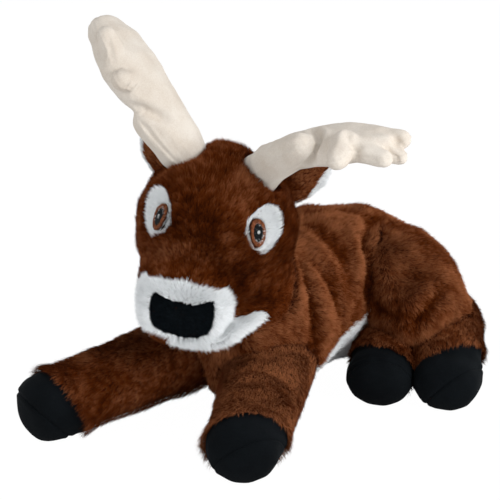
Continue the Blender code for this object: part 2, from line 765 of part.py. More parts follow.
def ear_form(root, out, face):
    rows = []
    for along, half_width, half_thickness in ear_row_shares:
        place = root + out * along * EAR_LENGTH
        rows.append((*place, half_width * EAR_WIDTH, half_thickness * EAR_THICKNESS))
    return SoftForm(rows, EAR_SIDES, EAR_STEPS, EAR_DOME_SHARES, up=face)


def make_ear(head, skins, turn, side, mirror, pose):
    out, face = ear_axes(mirror, *pose)
    left, forward, up = ear_root_shares
    root = on_head(left * mirror * HEAD_WIDTH, forward * HEAD_LENGTH, up * HEAD_HEIGHT)
    form = ear_form(root, out, face)
    parent = hinge(f"{side}_ear_flop", root, turn)
    whole = form.mesh(f"{side}_ear_whole")
    seam = root - face * EAR_THICKNESS * (0.5 - EAR_LINING_SHARE)
    front = slice_mesh(whole, f"{side}_ear", seam, None, face)
    piece(f"{side}_ear", front, skins["brown"], parent)
    lining = slice_mesh(whole, f"{side}_ear_lining", None, seam - face * CLEARANCE, face)
    piece(f"{side}_ear_lining", lining, skins["white"], parent)
    boolean(head, form.room(f"{side}_ear_room", root, out.cross(face), EAR_FLOP_LIMIT))


def antler_axes(mirror, lean, sweep, twist):
    """Along the antler, towards its front edge, and through its thickness."""
    a, b, c = (math.radians(angle) for angle in (lean, sweep, twist))
    along = (LEFT * mirror * math.sin(a) + HEAD_UP * math.cos(a)) * math.cos(b) + FORWARD * math.sin(b)
    front = (FORWARD - along * FORWARD.dot(along)).normalized()
    through = along.cross(front)
    front = front * math.cos(c) + through * math.sin(c)
    return along, front, along.cross(front)


def make_antler(head, skins, turn, side, mirror, pose, bow_size, row_shares, tine_shares):
    left, forward, up = antler_root_shares
    root = on_head(left * mirror * HEAD_WIDTH, forward * HEAD_LENGTH, up * HEAD_HEIGHT)
    along, front, through = antler_axes(mirror, *pose)

    def at(share, front_share, bow_share):
        bow = through * -mirror * bow_share * bow_size
        return root + along * share * ANTLER_LENGTH + front * front_share * ANTLER_WIDTH + bow

    rows = []
    for *place, half_width, half_thickness in row_shares:
        rows.append((*at(*place), half_width * ANTLER_WIDTH, half_thickness * ANTLER_THICKNESS))
    form = SoftForm(rows, ANTLER_SIDES, ANTLER_STEPS, ANTLER_DOME_SHARES, up=through)
    parent = hinge(f"{side}_antler_sway", root, turn)
    antler = piece(f"{side}_antler", form.mesh(f"{side}_antler"), skins["cream"], parent)
    for number, (start, end, thick_shares) in enumerate(tine_shares):
        tine_rows = []
        for place, share in zip((start, end), thick_shares):
            radius = share * ANTLER_THICKNESS / 2
            tine_rows.append((*at(*place), radius, radius))
        domes = (TINE_DOME_SHARE, TINE_DOME_SHARE)
        tine = SoftForm(tine_rows, TINE_SIDES, TINE_STEPS, domes, up=through)
        boolean(antler, guide(f"{side}_tine_{number}", tine.mesh(f"{side}_tine_{number}")), "UNION")
        if number == 0:
            brow_tine = SoftForm(tine_rows, TINE_SIDES, len(tine_rows), domes, up=through)
    stem = SoftForm(rows[:3], ANTLER_SIDES, ANTLER_STEPS, ANTLER_DOME_SHARES, up=through)
    room = stem.room(f"{side}_stem_room", root, FORWARD, ANTLER_SWAY_LIMIT)
    boolean(room, brow_tine.room(f"{side}_brow_tine_room", root, FORWARD, ANTLER_SWAY_LIMIT), "UNION")
    boolean(head, room)


def make_tail(body, skins):
    root = on_body(tail_root_shares)
    along = limb_frame(TAIL_HEADING, TAIL_DROP)
    top = (UP - along * UP.dot(along)).normalized()
    rows = []
    for share, half_width, half_thickness in tail_row_shares:
        place = root + along * share * TAIL_LENGTH
        rows.append((*place, half_width * TAIL_WIDTH, half_thickness * TAIL_THICKNESS))
    form = SoftForm(rows, TAIL_SIDES, TAIL_STEPS, TAIL_DOME_SHARES, up=top)
    parent = hinge("tail_flop", root)
    whole = form.mesh("tail_whole")
    seam = root - top * TAIL_THICKNESS * (0.5 - TAIL_LINING_SHARE)
    piece("tail", slice_mesh(whole, "tail", seam, None, top), skins["brown"], parent)
    lining = slice_mesh(whole, "tail_lining", None, seam - top * CLEARANCE, top)
    piece("tail_lining", lining, skins["white"], parent)
    boolean(body, form.room("tail_room", root, along.cross(top), TAIL_FLOP_LIMIT))


def make_belly(body, trunk, skins):
    """The white panel faces down and to the left, because the deer rolls onto its right flank."""
    tilt = math.radians(BELLY_TILT)
    out = Vector((math.sin(tilt), 0, -math.cos(tilt)))
    across = Vector((0, 1, 0))
    frame = (on_body(belly_middle_shares), across, out.cross(across), out)
    outline = smooth_outline(belly_outline_shares, BELLY_LENGTH, BELLY_PANEL_WIDTH, OUTLINE_STEPS)
    reach = (0, BODY_WIDTH)
    let_in(body, "belly", trunk, reach, [(outline, frame)])
    return panel("belly_panel", trunk, outline, frame, reach, skins["white"], None)


def main():
    for old in list(bpy.data.objects):
        bpy.data.objects.remove(old)
    skins = {
        "brown": finish("brown_plush", colour(96, 48, 24), 0.95),
        "white": finish("white_plush", colour(226, 230, 232), 0.95),
        "cream": finish("cream_velour", colour(228, 220, 208), 0.9),
        "black": finish("black_velour", colour(20, 25, 30), 0.85),
        "nose": finish("nose_plush", colour(22, 27, 30), 0.9),
        "iris": finish("brown_thread", colour(120, 68, 40), 0.6),
        "pupil": finish("dark_thread", colour(22, 30, 36), 0.5),
        "eye_glint": finish("white_thread", colour(225, 230, 228), 0.5),
    }
    floor = below_floor("floor_cut", BODY_LENGTH * FLOOR_REACH_SHARE)

    turn = hinge("head_turn", HEAD_MIDDLE)
    head = make_head(skins, turn)
    make_ear(head, skins, turn, "left", 1, (LEFT_EAR_TURN, LEFT_EAR_LIFT))
    make_ear(head, skins, turn, "right", -1, (RIGHT_EAR_TURN, RIGHT_EAR_LIFT))
    pose = (LEFT_ANTLER_LEAN, LEFT_ANTLER_SWEEP, LEFT_ANTLER_TWIST)
    shares = (left_antler_row_shares, left_tine_shares)
    make_antler(head, skins, turn, "left", 1, pose, LEFT_ANTLER_BOW, *shares)
    pose = (RIGHT_ANTLER_LEAN, RIGHT_ANTLER_SWEEP, RIGHT_ANTLER_TWIST)
    shares = (right_antler_row_shares, right_tine_shares)
    make_antler(head, skins, turn, "right", -1, pose, RIGHT_ANTLER_BOW, *shares)

    trunk = body_form()
    body = piece("body", trunk.mesh("body"), skins["brown"])
    belly = make_belly(body, trunk, skins)
    rooms = [
        cranium_form().room("head_room", HEAD_MIDDLE, UP, HEAD_TURN_LIMIT),
        muzzle_form().room("muzzle_room", HEAD_MIDDLE, UP, HEAD_TURN_LIMIT),
        neck_form().room("neck_room", HEAD_MIDDLE, UP, HEAD_TURN_LIMIT),
        chin_form().room("chin_room", HEAD_MIDDLE, UP, HEAD_TURN_LIMIT),
    ]
    legs = (
        ("right", right_shoulder_shares, RIGHT_LEG_HEADING),
        ("left", left_shoulder_shares, LEFT_LEG_HEADING),
    )
    for side, shoulder, heading in legs:
        form = front_leg_form(shoulder, heading)
        pivot = on_body(shoulder)
        parent = hinge(f"{side}_front_leg_swing", pivot)
        names = (f"{side}_front_leg", f"{side}_front_hoof", f"{side}_front_sole")
        hoofed_limb(f"{side}_front_limb", form, skins, parent, floor, names, HOOF_TURN)
        rooms.append(form.room(f"{side}_leg_room", pivot, UP, FRONT_LEG_LIMIT))
    for room in rooms:
        boolean(body, room)
        boolean(belly, room)

    trunk_skin = guide("trunk_skin", trunk.mesh("trunk_skin", CLEARANCE))
    thighs = []
    for side, shares in (("left", left_thigh_row_shares), ("right", right_thigh_row_shares)):
        form = thigh_form(shares)
        thigh = piece(f"{side}_thigh", form.mesh(f"{side}_thigh"), skins["brown"])
        boolean(thigh, trunk_skin)
        boolean(thigh, floor)
        thighs.append(guide(f"{side}_thigh_skin", form.mesh(f"{side}_thigh_skin", CLEARANCE)))
    # The right hind leg gives way to the left one where the two press together.
    left_shin = shin_form(left_shin_row_shares)
    left_shin_skin = guide("left_shin_skin", left_shin.mesh("left_shin_skin", CLEARANCE))
    right_shin = shin_form(right_shin_row_shares)
    for side, form, skins_met in (
        ("left", left_shin, [trunk_skin, *thighs]),
        ("right", right_shin, [trunk_skin, *thighs, left_shin_skin]),
    ):
        names = (f"{side}_hind_leg", f"{side}_hind_hoof", f"{side}_hind_sole")
        for made in hoofed_limb(f"{side}_hind_limb", form, skins, None, floor, names):
            for skin in skins_met:
                boolean(made, skin)

    make_tail(body, skins)
    boolean(body, floor)
    boolean(belly, floor)


if __name__ == "__main__":
    main()
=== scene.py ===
"""The dressed plush deer: stuffed skins, brushed pile, velour antlers and hooves, and embroidered eyes."""

import math

import bmesh
import bpy
import numpy as np
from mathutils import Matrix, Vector, noise
from mathutils.bvhtree import BVHTree


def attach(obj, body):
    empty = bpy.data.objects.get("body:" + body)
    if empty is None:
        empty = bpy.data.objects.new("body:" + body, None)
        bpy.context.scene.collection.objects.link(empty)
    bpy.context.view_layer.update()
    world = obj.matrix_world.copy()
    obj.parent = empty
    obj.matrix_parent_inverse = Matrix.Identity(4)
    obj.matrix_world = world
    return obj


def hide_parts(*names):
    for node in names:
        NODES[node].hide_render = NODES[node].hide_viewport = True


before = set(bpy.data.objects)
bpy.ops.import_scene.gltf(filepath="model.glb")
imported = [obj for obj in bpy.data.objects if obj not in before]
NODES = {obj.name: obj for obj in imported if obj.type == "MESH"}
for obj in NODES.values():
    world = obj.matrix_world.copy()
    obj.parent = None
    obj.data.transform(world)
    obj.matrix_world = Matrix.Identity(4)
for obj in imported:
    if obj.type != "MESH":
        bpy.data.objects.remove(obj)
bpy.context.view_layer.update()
SCENE = bpy.context.scene

# Camera, in metres and degrees
CAMERA_TARGET = Vector((-0.025, 0.03, 0.155))
CAMERA_AZIMUTH = 35.0
CAMERA_ELEVATION = 20.0
CAMERA_DISTANCE = 1.6
CAMERA_LENS = 104.76
CAMERA_SENSOR = 36.0

# Skins: the size of the weave that a form is rebuilt with, how far the skin lies under the pile, and how it
# changes near panels, rims, cuffs, creases and the floor
BODY_WEAVE = 0.0035
HEAD_WEAVE = 0.0021
LIMB_WEAVE = 0.003
PATCH_WEAVE = 0.0013
PANEL_WEAVE = 0.0022
HOOF_WEAVE = 0.0016
ANTLER_WEAVE = 0.0016
PILE_ROOM = 0.0034
NEAR_ROOM = 0.006
PATCH_SINK = 0.0022
PANEL_PROUD = 0.0009
RIM_REACH = 0.0025
RIM_WIDTH = 0.0016
RIM_BAND = 0.012
IRIS_MARGIN = 0.0042
NOSE_MARGIN = 0.0026
THIN_SHARE = 0.38
TRIM_MARGIN = 0.004
CUFF_TUCK = 0.003
CUFF_SHIFT = 0.0025
CUFF_EASE = 0.75
CUFF_FADE = 0.009
CREASE_DEPTH = 0.005
CREASE_SHORT = 0.35
# How much a crease darkens the pile, as painted shade.
CREASE_SHADE = 0.9
SWELL_SIZE = 0.045
RIPPLE_SIZE = 0.018
RIPPLE_SHARE = 0.4
BURIED_SHARE = 0.45
LEAST_PILE = 0.35
UNDER_HEIGHT = 0.06
UNDER_SHARE = 0.35
BARE_REACH = 0.010

# Pile
LONG_PILE = 0.0086
FACE_PILE = 0.0078
MUZZLE_PILE = 0.0084
WHITE_PILE = 0.0062
EAR_PILE = 0.0050
NOSE_PILE = 0.0042

# The head: the painted shade on its pile (a painted light below zero), how far the pile turns round the nose
# and the eyes, and where its longer pile starts
HEAD_PAINTED_LIGHT = -0.55
NOSE_REACH = 0.045
EYE_REACH = 0.017
CROWN_HEIGHT = 0.245
FACE = {"Length": FACE_PILE, "Density": 2.1e6}
LEG_PILE = {"Lean": math.radians(58), "Swirl": 1.1}

# Finishes: the scales of their noises, the shares of the painted light and shade on a strand, and the heights
# of bumps
SHEEN_PATCH_SCALE = 20.0
FINE_SHEEN_SCALE = 80.0
FINE_SHEEN_SHARE = 0.4
ALONG_SHARE = 0.85
TINT_SHARE = 0.42
MIDDLE_STOP = 0.45
CLUMP_HIGHLIGHT = 0.6
SWIRL_SCALE = 28.0
VELOUR_SCALE = 34.0
NAP_SCALE = 700.0
NAP_SHARE = 0.45
NAP_RISE = 0.0006
STAIN_SCALE = 60.0
KNIT_SCALE = 900.0
KNIT_RISE = 0.0005

# Folds: points to each one that is given, and the puff beside a fold, in shares of its depth and half width
MM = 0.001
FOLD_STEPS = 12
PUFF_SHARE = 0.35
PUFF_PLACE = 1.9

# Velour: the rolled seam of a sole, the lumps of a hoof, and the lip, groove and puckers round an antler
SEAM_DROP, SEAM_HALF = 0.0011, 0.0012
ROLL_RISE, ROLL_PLACE, ROLL_HALF = 0.0005, 0.0034, 0.0018
LUMP_RISE, LUMP_SIZE = 0.0008, 0.022
LIP_RISE, LIP_HALF = 0.0006, 0.10
GROOVE_DROP, GROOVE_PLACE, GROOVE_HALF = 0.0004, 0.24, 0.09
PUCKER_RISE, PUCKER_PITCH, PUCKER_PLACE, PUCKER_HALF = 0.0002, 0.0052, 0.2, 0.25

# Embroidery
THREAD_PITCH = 0.00065
THREAD_RAISE = 0.00025
EYE_RAISE = 0.0009
FLOOR_LIFT = 0.0003
MOST_STRANDS = 92000

# Folds of the skins: points along the fold, its half width and its depth, in millimetres
BODY_FOLDS = [
    ([(55, 172, 170), (58, 143, 167), (63, 126, 163), (72, 113, 149), (81, 106, 132), (86, 98, 114),
      (95, 92, 90)], 9, 9),
    ([(40, 22, 168), (62, 10, 145), (73, 5, 127), (78, 1, 101), (77, 0, 70)], 9, 6),
    ([(30, 39, 174), (53, 36, 158), (68, 40, 140), (78, 44, 115), (81, 49, 85)], 10, 5),
    ([(12, 80, 181), (40, 75, 171), (63, 75, 151), (79, 76, 122)], 14, 4),
    ([(20, 138, 180), (44, 149, 175), (57, 156, 169)], 12, 4),
]
THIGH_FOLDS = [
    ([(58, 143, 167), (63, 126, 163), (72, 113, 149), (81, 106, 132), (86, 98, 114),
      (97, 92, 90)], 11, 6),
    ([(165, 125, 122), (156, 111, 108), (151, 96, 94), (146, 92, 78)], 9, 6),
    ([(98, 96, 98), (108, 92, 96), (126, 89, 93), (146, 92, 95)], 8, 4),
    ([(110, 110, 150), (130, 120, 135), (145, 128, 122)], 12, 3),
]
LEG_FOLDS = [
    ([(46, -97, 77), (71, -85, 83), (91, -75, 76), (104, -68, 56)], 8, 3.4),
    ([(58, -118, 78), (82, -98, 81), (96, -90, 74), (109, -88, 55)], 8, 3),
]
HEAD_FOLDS = [
    ([(-30, -132, 222), (-17, -132, 223), (1, -130, 219), (20, -123, 214), (36, -112, 209)], 14, 2.2),
    ([(50, -92, 136), (56, -78, 145), (60, -66, 152)], 8, 2.5),
]
LEFT_ANTLER_FOLDS = [
    ([(84, -20, 325), (91, -27, 322), (103, -36, 321), (110, -47, 319), (110, -51, 313),
      (109, -56, 307), (102, -53, 300), (95, -50, 292)], 4.2, 6),
    ([(55, -58, 295), (72, -64, 304), (90, -70, 314), (103, -69, 321)], 2.2, 1.2),
    ([(145, -50, 336), (151, -56, 327), (155, -52, 318), (152, -53, 310)], 5, 3.5),
    ([(156, -52, 312), (166, -51, 312), (178, -52, 312)], 2.2, 1.2),
    ([(172, -34, 320), (179, -32, 317), (187, -31, 312), (188, -28, 304)], 5, 3.5),
    ([(168, -18, 329), (178, -20, 325), (190, -24, 317)], 5, 3),
]
RIGHT_ANTLER_FOLDS = [
    ([(-80, -96, 336), (-73, -93, 334), (-66, -89, 330), (-59, -84, 325), (-54, -81, 323)], 5, 4.5),
    ([(-78, -94, 325), (-66, -95, 315), (-56, -92, 302), (-46, -89, 292), (-36, -82, 280)], 2.4, 1.6),
    ([(-103, -104, 406), (-102, -103, 392), (-99, -103, 379)], 2.4, 1.2),
    ([(-84, -98, 374), (-73, -103, 366), (-74, -112, 358)], 4, 2.4),
]

# Where the white lining shows at the edge of an ear, in millimetres
EAR_RIMS = {
    "left": [(62, 60, 266), (59, 54, 258), (55, 44, 248), (51, 38, 238), (45, 32, 226)],
    "right": [(-123, -30, 278), (-121, -32, 270), (-120, -34, 265), (-115, -35, 257), (-109, -36, 252)],
}

# Seams of the soles: a point on the seam and the direction from the sole to the leg
SOLE_SEAMS = {
    "right_front": ((-0.1029, -0.2246, 0.0337), (0.314, 0.682, 0.660)),
    "left_front": ((0.1200, -0.1784, 0.0459), (-0.668, 0.377, 0.641)),
    "right_hind": ((0.1353, 0.0502, 0.0505), (-0.426, 0.864, 0.267)),
    "left_hind": ((0.2066, 0.0850, 0.0396), (-0.761, 0.181, 0.623)),
}

# Seams between the pile of a leg and the velour of its hoof: a point on the seam and the direction up the leg
CUFF_SEAMS = {
    "right_front": ((-0.0877, -0.2090, 0.0606), (0.240, 0.900, 0.360)),
    "left_front": ((0.1075, -0.1586, 0.0629), (-0.660, 0.700, 0.260)),
    "right_hind": ((0.1269, 0.0739, 0.0556), (-0.080, 0.960, 0.260)),
    "left_hind": ((0.1839, 0.1114, 0.0584), (-0.710, 0.490, 0.500)),
}

# For each skin, its points before it is drawn in, and how far each one moves
DRAWN_IN = {}


# Helpers for objects and node trees


def placed(name, data):
    """An object in the scene that holds some data."""
    made = bpy.data.objects.new(name, data)
    SCENE.collection.objects.link(made)
    return made


def add_node(tree, kind, settings=None, sockets=None):
    """A node with its settings first, and then the values or links of its sockets."""
    made = tree.nodes.new(kind)
    for name, value in (settings or {}).items():
        if name == "stops":
            fill_ramp(made.color_ramp, value)
        else:
            setattr(made, name, value)
    for name, value in (sockets or {}).items():
        if isinstance(value, bpy.types.NodeSocket):
            tree.links.new(value, made.inputs[name])
        else:
            made.inputs[name].default_value = value
    return made


def fill_ramp(ramp, stops):
    while len(ramp.elements) < len(stops):
        ramp.elements.new(0.5)
    for element, (place, colour) in zip(ramp.elements, stops):
        element.position = place
        element.color = colour


# Shader maths


class Link:
    """One output of a shader tree, with the operators that the finishes use."""

    def __init__(self, shade, socket):
        self.shade = shade
        self.socket = socket

    def maths(self, kind, a, b):
        return self.shade.node("ShaderNodeMath", {"operation": kind}, {0: a, 1: b})

    def __add__(self, other):
        return self.maths("ADD", self, other)

    def __radd__(self, other):
        return self.maths("ADD", other, self)

    def __sub__(self, other):
        return self.maths("SUBTRACT", self, other)

    def __rsub__(self, other):
        return self.maths("SUBTRACT", other, self)

    def __mul__(self, other):
        return self.maths("MULTIPLY", self, other)

    def __rmul__(self, other):
        return self.maths("MULTIPLY", other, self)


class Shade:
    """A material whose nodes are written as expressions."""

    def __init__(self, name):
        self.material = bpy.data.materials.new(name)
        self.material.use_nodes = True
        self.tree = self.material.node_tree
        self.shader = self.tree.nodes["Principled BSDF"]

    def node(self, kind, settings=None, sockets=None, out=0):
        plain = {}
        for name, value in (sockets or {}).items():
            plain[name] = value.socket if isinstance(value, Link) else value
        return Link(self, add_node(self.tree, kind, settings, plain).outputs[out])

    def feed(self, name, link):
        self.tree.links.new(link.socket, self.shader.inputs[name])

    def even(self, **values):
        """Sets values that are the same all over the surface."""
        for name, value in values.items():
            self.shader.inputs[name.replace("_", " ")].default_value = value

    def mix(self, factor, one, two):
        """A colour between two, by a factor."""
        sockets = {0: factor, 6: one, 7: two}
        return self.node("ShaderNodeMix", {"data_type": "RGBA"}, sockets, out=2)

    def noise(self, scale, detail=2.0, rough=0.5):
        place = self.node("ShaderNodeTexCoord", out=3)
        sockets = {"Vector": place, "Scale": scale, "Detail": detail, "Roughness": rough}
        return self.node("ShaderNodeTexNoise", {}, sockets)

    def attribute(self, name):
        return self.node("ShaderNodeAttribute", {"attribute_name": name}, out=2)

    def bump(self, height, strength, distance):
        sockets = {"Height": height, "Strength": strength, "Distance": distance}
        self.feed("Normal", self.node("ShaderNodeBump", {}, sockets))


def tone(red, green, blue):
    """A colour from sRGB values of 0 to 255."""
    shares = [value / 255 for value in (red, green, blue)]
    linear = [share / 12.92 if share <= 0.04045 else ((share + 0.055) / 1.055) ** 2.4 for share in shares]
    return (*linear, 1.0)


def pile_finish(name, root, middle, tip, sheen, patchy=0.5):
    """Strands that are dark in their depth and light at the tip, the dark depth being painted shade, with
    broad and fine patches of painted sheen where brushed nap catches the light.
    """
    shade = Shade(name)
    along = shade.attribute("along")
    tint = shade.attribute("tint")
    brushed = shade.noise(SHEEN_PATCH_SCALE)
    fine_sheen = shade.noise(FINE_SHEEN_SCALE)
    # Lighter toward the tip paints the shade down in the pile; the tint adds random tone by strand and
    # painted light and shade; the noises add patches of painted sheen.
    lit = along * ALONG_SHARE + (tint - 0.5) * TINT_SHARE
    lit = lit + (brushed - 0.5) * patchy + (fine_sheen - 0.5) * patchy * FINE_SHEEN_SHARE
    stops = [(0.0, root), (MIDDLE_STOP, middle), (1.0, tip)]
    shade.feed("Base Color", shade.node("ShaderNodeValToRGB", {"stops": stops}, {0: lit}))
    shade.even(Roughness=0.75, Sheen_Weight=sheen, Sheen_Roughness=0.4, Specular_IOR_Level=0.02)
    shade.shader.inputs["Sheen Tint"].default_value = tip
    return shade.material


def backing_finish(name, base, deep):
    """The knitted backing that the pile stands on."""
    shade = Shade(name)
    shade.feed("Base Color", shade.mix(shade.noise(STAIN_SCALE), deep, base))
    shade.bump(shade.noise(KNIT_SCALE), 0.3, KNIT_RISE)
    shade.even(Roughness=0.95, Specular_IOR_Level=0.1)
    return shade.material


def velour_finish(name, base, deep, sheen):
    """Short-napped velour: broad brushed marks, a fine nap and a soft sheen."""
    shade = Shade(name)
    brushed = shade.noise(VELOUR_SCALE, 3.0)
    nap = shade.noise(NAP_SCALE, 3.0, rough=0.7)
    lit = brushed * (1 - NAP_SHARE) + nap * NAP_SHARE
    stops = [(0.3, deep), (0.62, base)]
    shade.feed("Base Color", shade.node("ShaderNodeValToRGB", {"stops": stops}, {0: lit}))
    shade.bump(nap, 0.35, NAP_RISE)
    shade.even(Roughness=0.85, Sheen_Weight=sheen, Sheen_Roughness=0.5, Specular_IOR_Level=0.06)
    return shade.material


def thread_finish(name, base, deep):
    """Embroidery thread, each one a little darker or lighter."""
    shade = Shade(name)
    shade.feed("Base Color", shade.mix(shade.attribute("tint"), deep, base))
    shade.even(Roughness=0.6, Specular_IOR_Level=0.12)
    return shade.material


# Geometry Nodes


class Tree:
    """A Geometry Nodes tree that is built in code, with named inputs."""

    def __init__(self, name, inputs):
        self.group = bpy.data.node_groups.new(name, "GeometryNodeTree")
        face = self.group.interface
        face.new_socket("Geometry", in_out="INPUT", socket_type="NodeSocketGeometry")
        face.new_socket("Geometry", in_out="OUTPUT", socket_type="NodeSocketGeometry")
        self.keys = {}
        for label, kind in inputs.items():
            self.keys[label] = face.new_socket(label, in_out="INPUT", socket_type=kind).identifier
        self.start = self.group.nodes.new("NodeGroupInput")
        self.end = self.group.nodes.new("NodeGroupOutput")

    def input(self, label):
        return self.start.outputs[label]

    def node(self, kind, settings=None, sockets=None):
        return add_node(self.group, kind, settings, sockets)

    def named(self, name, kind="FLOAT"):
        """What is stored on the source under a name."""
        made = self.node("GeometryNodeInputNamedAttribute", {"data_type": kind}, {"Name": name})
        return made.outputs["Attribute"]

    def maths(self, kind, a, b=0.0):
        return self.node("ShaderNodeMath", {"operation": kind}, {0: a, 1: b}).outputs[0]

    def vector(self, kind, a, b):
        return self.node("ShaderNodeVectorMath", {"operation": kind}, {0: a, 1: b}).outputs["Vector"]

    def scaled(self, a, scale):
        made = self.node("ShaderNodeVectorMath", {"operation": "SCALE"}, {0: a, "Scale": scale})
        return made.outputs["Vector"]

    def random(self, low, high, seed):
        sockets = {2: low, 3: high, "Seed": seed}
        return self.node("FunctionNodeRandomValue", {"data_type": "FLOAT"}, sockets).outputs[1]

    def close(self, geometry):
        """Makes the instances real, gives them the material and hands them out."""
        real = self.node("GeometryNodeRealizeInstances", {}, {0: geometry})
        sockets = {"Geometry": real.outputs[0], "Material": self.input("Material")}
        dressed = self.node("GeometryNodeSetMaterial", {}, sockets)
        self.group.links.new(dressed.outputs[0], self.end.inputs[0])

    def grown(self, source, name, values):
        """A plain mesh object of what the tree makes on a source object."""
        step = source.modifiers.new(name, "NODES")
        step.node_group = self.group
        for label, value in values.items():
            step[self.keys[label]] = value
        graph = bpy.context.evaluated_depsgraph_get()
        mesh = bpy.data.meshes.new_from_object(
            source.evaluated_get(graph), preserve_all_data_layers=True, depsgraph=graph
        )
        source.modifiers.remove(step)
        mesh.name = name
        return placed(name, mesh)


def pile_tree():
    """Strands of pile on a skin, drawn into small clumps and brushed along the skin's flow."""
    floats = ("Density", "Length", "Width", "Lean", "Clump Size", "Clump Pull", "Swirl", "Fray")
    inputs = {"Strand": "NodeSocketObject", **{label: "NodeSocketFloat" for label in floats}}
    tree = Tree("pile", {**inputs, "Seed": "NodeSocketInt", "Material": "NodeSocketMaterial"})
    flow = tree.named("flow", "FLOAT_VECTOR")
    density = tree.maths("MULTIPLY", tree.input("Density"), tree.named("cover"))
    scatter = tree.node(
        "GeometryNodeDistributePointsOnFaces",
        {"distribute_method": "RANDOM"},
        {"Mesh": tree.input("Geometry"), "Density": density, "Seed": tree.input("Seed")},
    )
    place = tree.node("GeometryNodeInputPosition").outputs[0]
    out = scatter.outputs["Normal"]
    outside = tree.maths("LESS_THAN", tree.named("keep"), 0.0)
    kept = tree.node(
        "GeometryNodeDeleteGeometry",
        {"domain": "POINT"},
        {"Geometry": scatter.outputs["Points"], "Selection": outside},
    )

    # The heading of a strand: upright, laid along the flow, swirled in broad patches and frayed at random
    clump_scale = tree.maths("DIVIDE", 1.0, tree.input("Clump Size"))
    cells = tree.node("ShaderNodeTexVoronoi", {"feature": "F1"}, {"Vector": place, "Scale": clump_scale})
    to_clump = tree.vector("SUBTRACT", cells.outputs["Position"], place)
    broad = tree.node("ShaderNodeTexNoise", {}, {"Vector": place, "Scale": SWIRL_SCALE, "Detail": 2.0})
    centred = tree.vector("SUBTRACT", broad.outputs["Color"], (0.5, 0.5, 0.5))
    swirl = tree.scaled(centred, tree.input("Swirl"))
    ends = {0: (-1.0, -1.0, -1.0), 1: (1.0, 1.0, 1.0), "Seed": 3}
    loose = tree.node("FunctionNodeRandomValue", {"data_type": "FLOAT_VECTOR"}, ends)
    fray = tree.scaled(loose.outputs[0], tree.input("Fray"))
    upright = tree.scaled(out, tree.maths("COSINE", tree.input("Lean")))
    laid = tree.scaled(flow, tree.maths("SINE", tree.input("Lean")))
    heading = tree.vector("ADD", tree.vector("ADD", upright, laid), tree.vector("ADD", swirl, fray))
    full = tree.maths("MULTIPLY", tree.input("Length"), tree.named("pile"))
    full = tree.maths("MULTIPLY", full, tree.random(0.7, 1.1, 5))
    reach = tree.scaled(heading, full)
    pulled = tree.vector("ADD", reach, tree.scaled(to_clump, tree.input("Clump Pull")))

    # The strand on its point, turned to its heading and twisted a little
    axes = {"primary_axis": "Z", "secondary_axis": "Y"}
    turn = tree.node("FunctionNodeAxesToRotation", axes, {0: pulled, 1: out})
    spin = {"Axis": (0.0, 0.0, 1.0), "Angle": tree.random(-0.7, 0.7, 11)}
    twist = tree.node("FunctionNodeAxisAngleToRotation", {}, spin)
    turns = {0: turn.outputs[0], 1: twist.outputs[0]}
    turned = tree.node("FunctionNodeRotateRotation", {"rotation_space": "LOCAL"}, turns)
    tall = tree.node("ShaderNodeVectorMath", {"operation": "LENGTH"}, {0: pulled}).outputs["Value"]
    wide = tree.maths("MULTIPLY", tree.input("Width"), tree.random(0.7, 1.3, 7))
    size = tree.node("ShaderNodeCombineXYZ", {}, {0: wide, 1: tall, 2: tall})
    own_space = {"transform_space": "ORIGINAL"}
    strand = tree.node("GeometryNodeObjectInfo", own_space, {"Object": tree.input("Strand")})
    stand = tree.node(
        "GeometryNodeInstanceOnPoints",
        {},
        {
            "Points": kept.outputs[0],
            "Instance": strand.outputs["Geometry"],
            "Rotation": turned.outputs[0],
            "Scale": size.outputs[0],
        },
    )

    # The tint that the finish reads: random by strand, lighter by clump as painted clump highlights, darker
    # in a crease as painted shade, and lighter or darker by the painted light given for each piece
    tuft = tree.node("FunctionNodeSeparateColor", {}, {0: cells.outputs["Color"]}).outputs[0]
    tint = tree.maths("ADD", tree.random(0.0, 0.5, 13), tree.maths("MULTIPLY", tuft, CLUMP_HIGHLIGHT))
    tint = tree.maths("SUBTRACT", tint, tree.named("crease"))
    tinted = tree.node(
        "GeometryNodeStoreNamedAttribute",
        {"data_type": "FLOAT", "domain": "INSTANCE"},
        {"Geometry": stand.outputs[0], "Name": "tint", "Value": tint},
    )
    clean = tinted.outputs[0]
    for name in ("flow", "cover", "pile", "keep", "crease"):
        clean = tree.node("GeometryNodeRemoveAttribute", {}, {"Geometry": clean, "Name": name}).outputs[0]
    tree.close(clean)
    return tree


def thread_tree():
    """Round threads along the lines of a mesh."""
    tree = Tree("thread", {"Radius": "NodeSocketFloat", "Material": "NodeSocketMaterial"})
    radius = tree.input("Radius")
    lines = tree.node("GeometryNodeMeshToCurve", {}, {0: tree.input("Geometry")})
    ring = tree.node("GeometryNodeCurvePrimitiveCircle", {}, {"Resolution": 5, "Radius": 1.0})
    size = tree.node("GeometryNodeSetCurveRadius", {}, {"Curve": lines.outputs[0], "Radius": radius})
    sockets = {"Curve": size.outputs[0], "Profile Curve": ring.outputs[0], "Fill Caps": True}
    thread = tree.node("GeometryNodeCurveToMesh", {}, sockets)
    if "Scale" in thread.inputs:
        tree.group.links.new(radius, thread.inputs["Scale"])
    smooth = tree.node("GeometryNodeSetShadeSmooth", {}, {0: thread.outputs[0]})
    tree.close(smooth.outputs[0])
    return tree


def strand_pattern():
    """One strand: narrow at the root, widest in the middle, and bent over towards its tip."""
    points = [(0.0, 0.0, 0.0), (-0.5, 0.16, 0.42), (0.5, 0.16, 0.42), (0.0, 0.0, 1.0)]
    mesh = bpy.data.meshes.new("strand")
    mesh.from_pydata(points, [], [(0, 2, 1), (1, 2, 3)])
    along = mesh.attributes.new("along", "FLOAT", "POINT")
    along.data.foreach_set("value", [0.0, 0.55, 0.55, 1.0])
    made = placed("strand", mesh)
    made.hide_render = True
    return made


# Skins


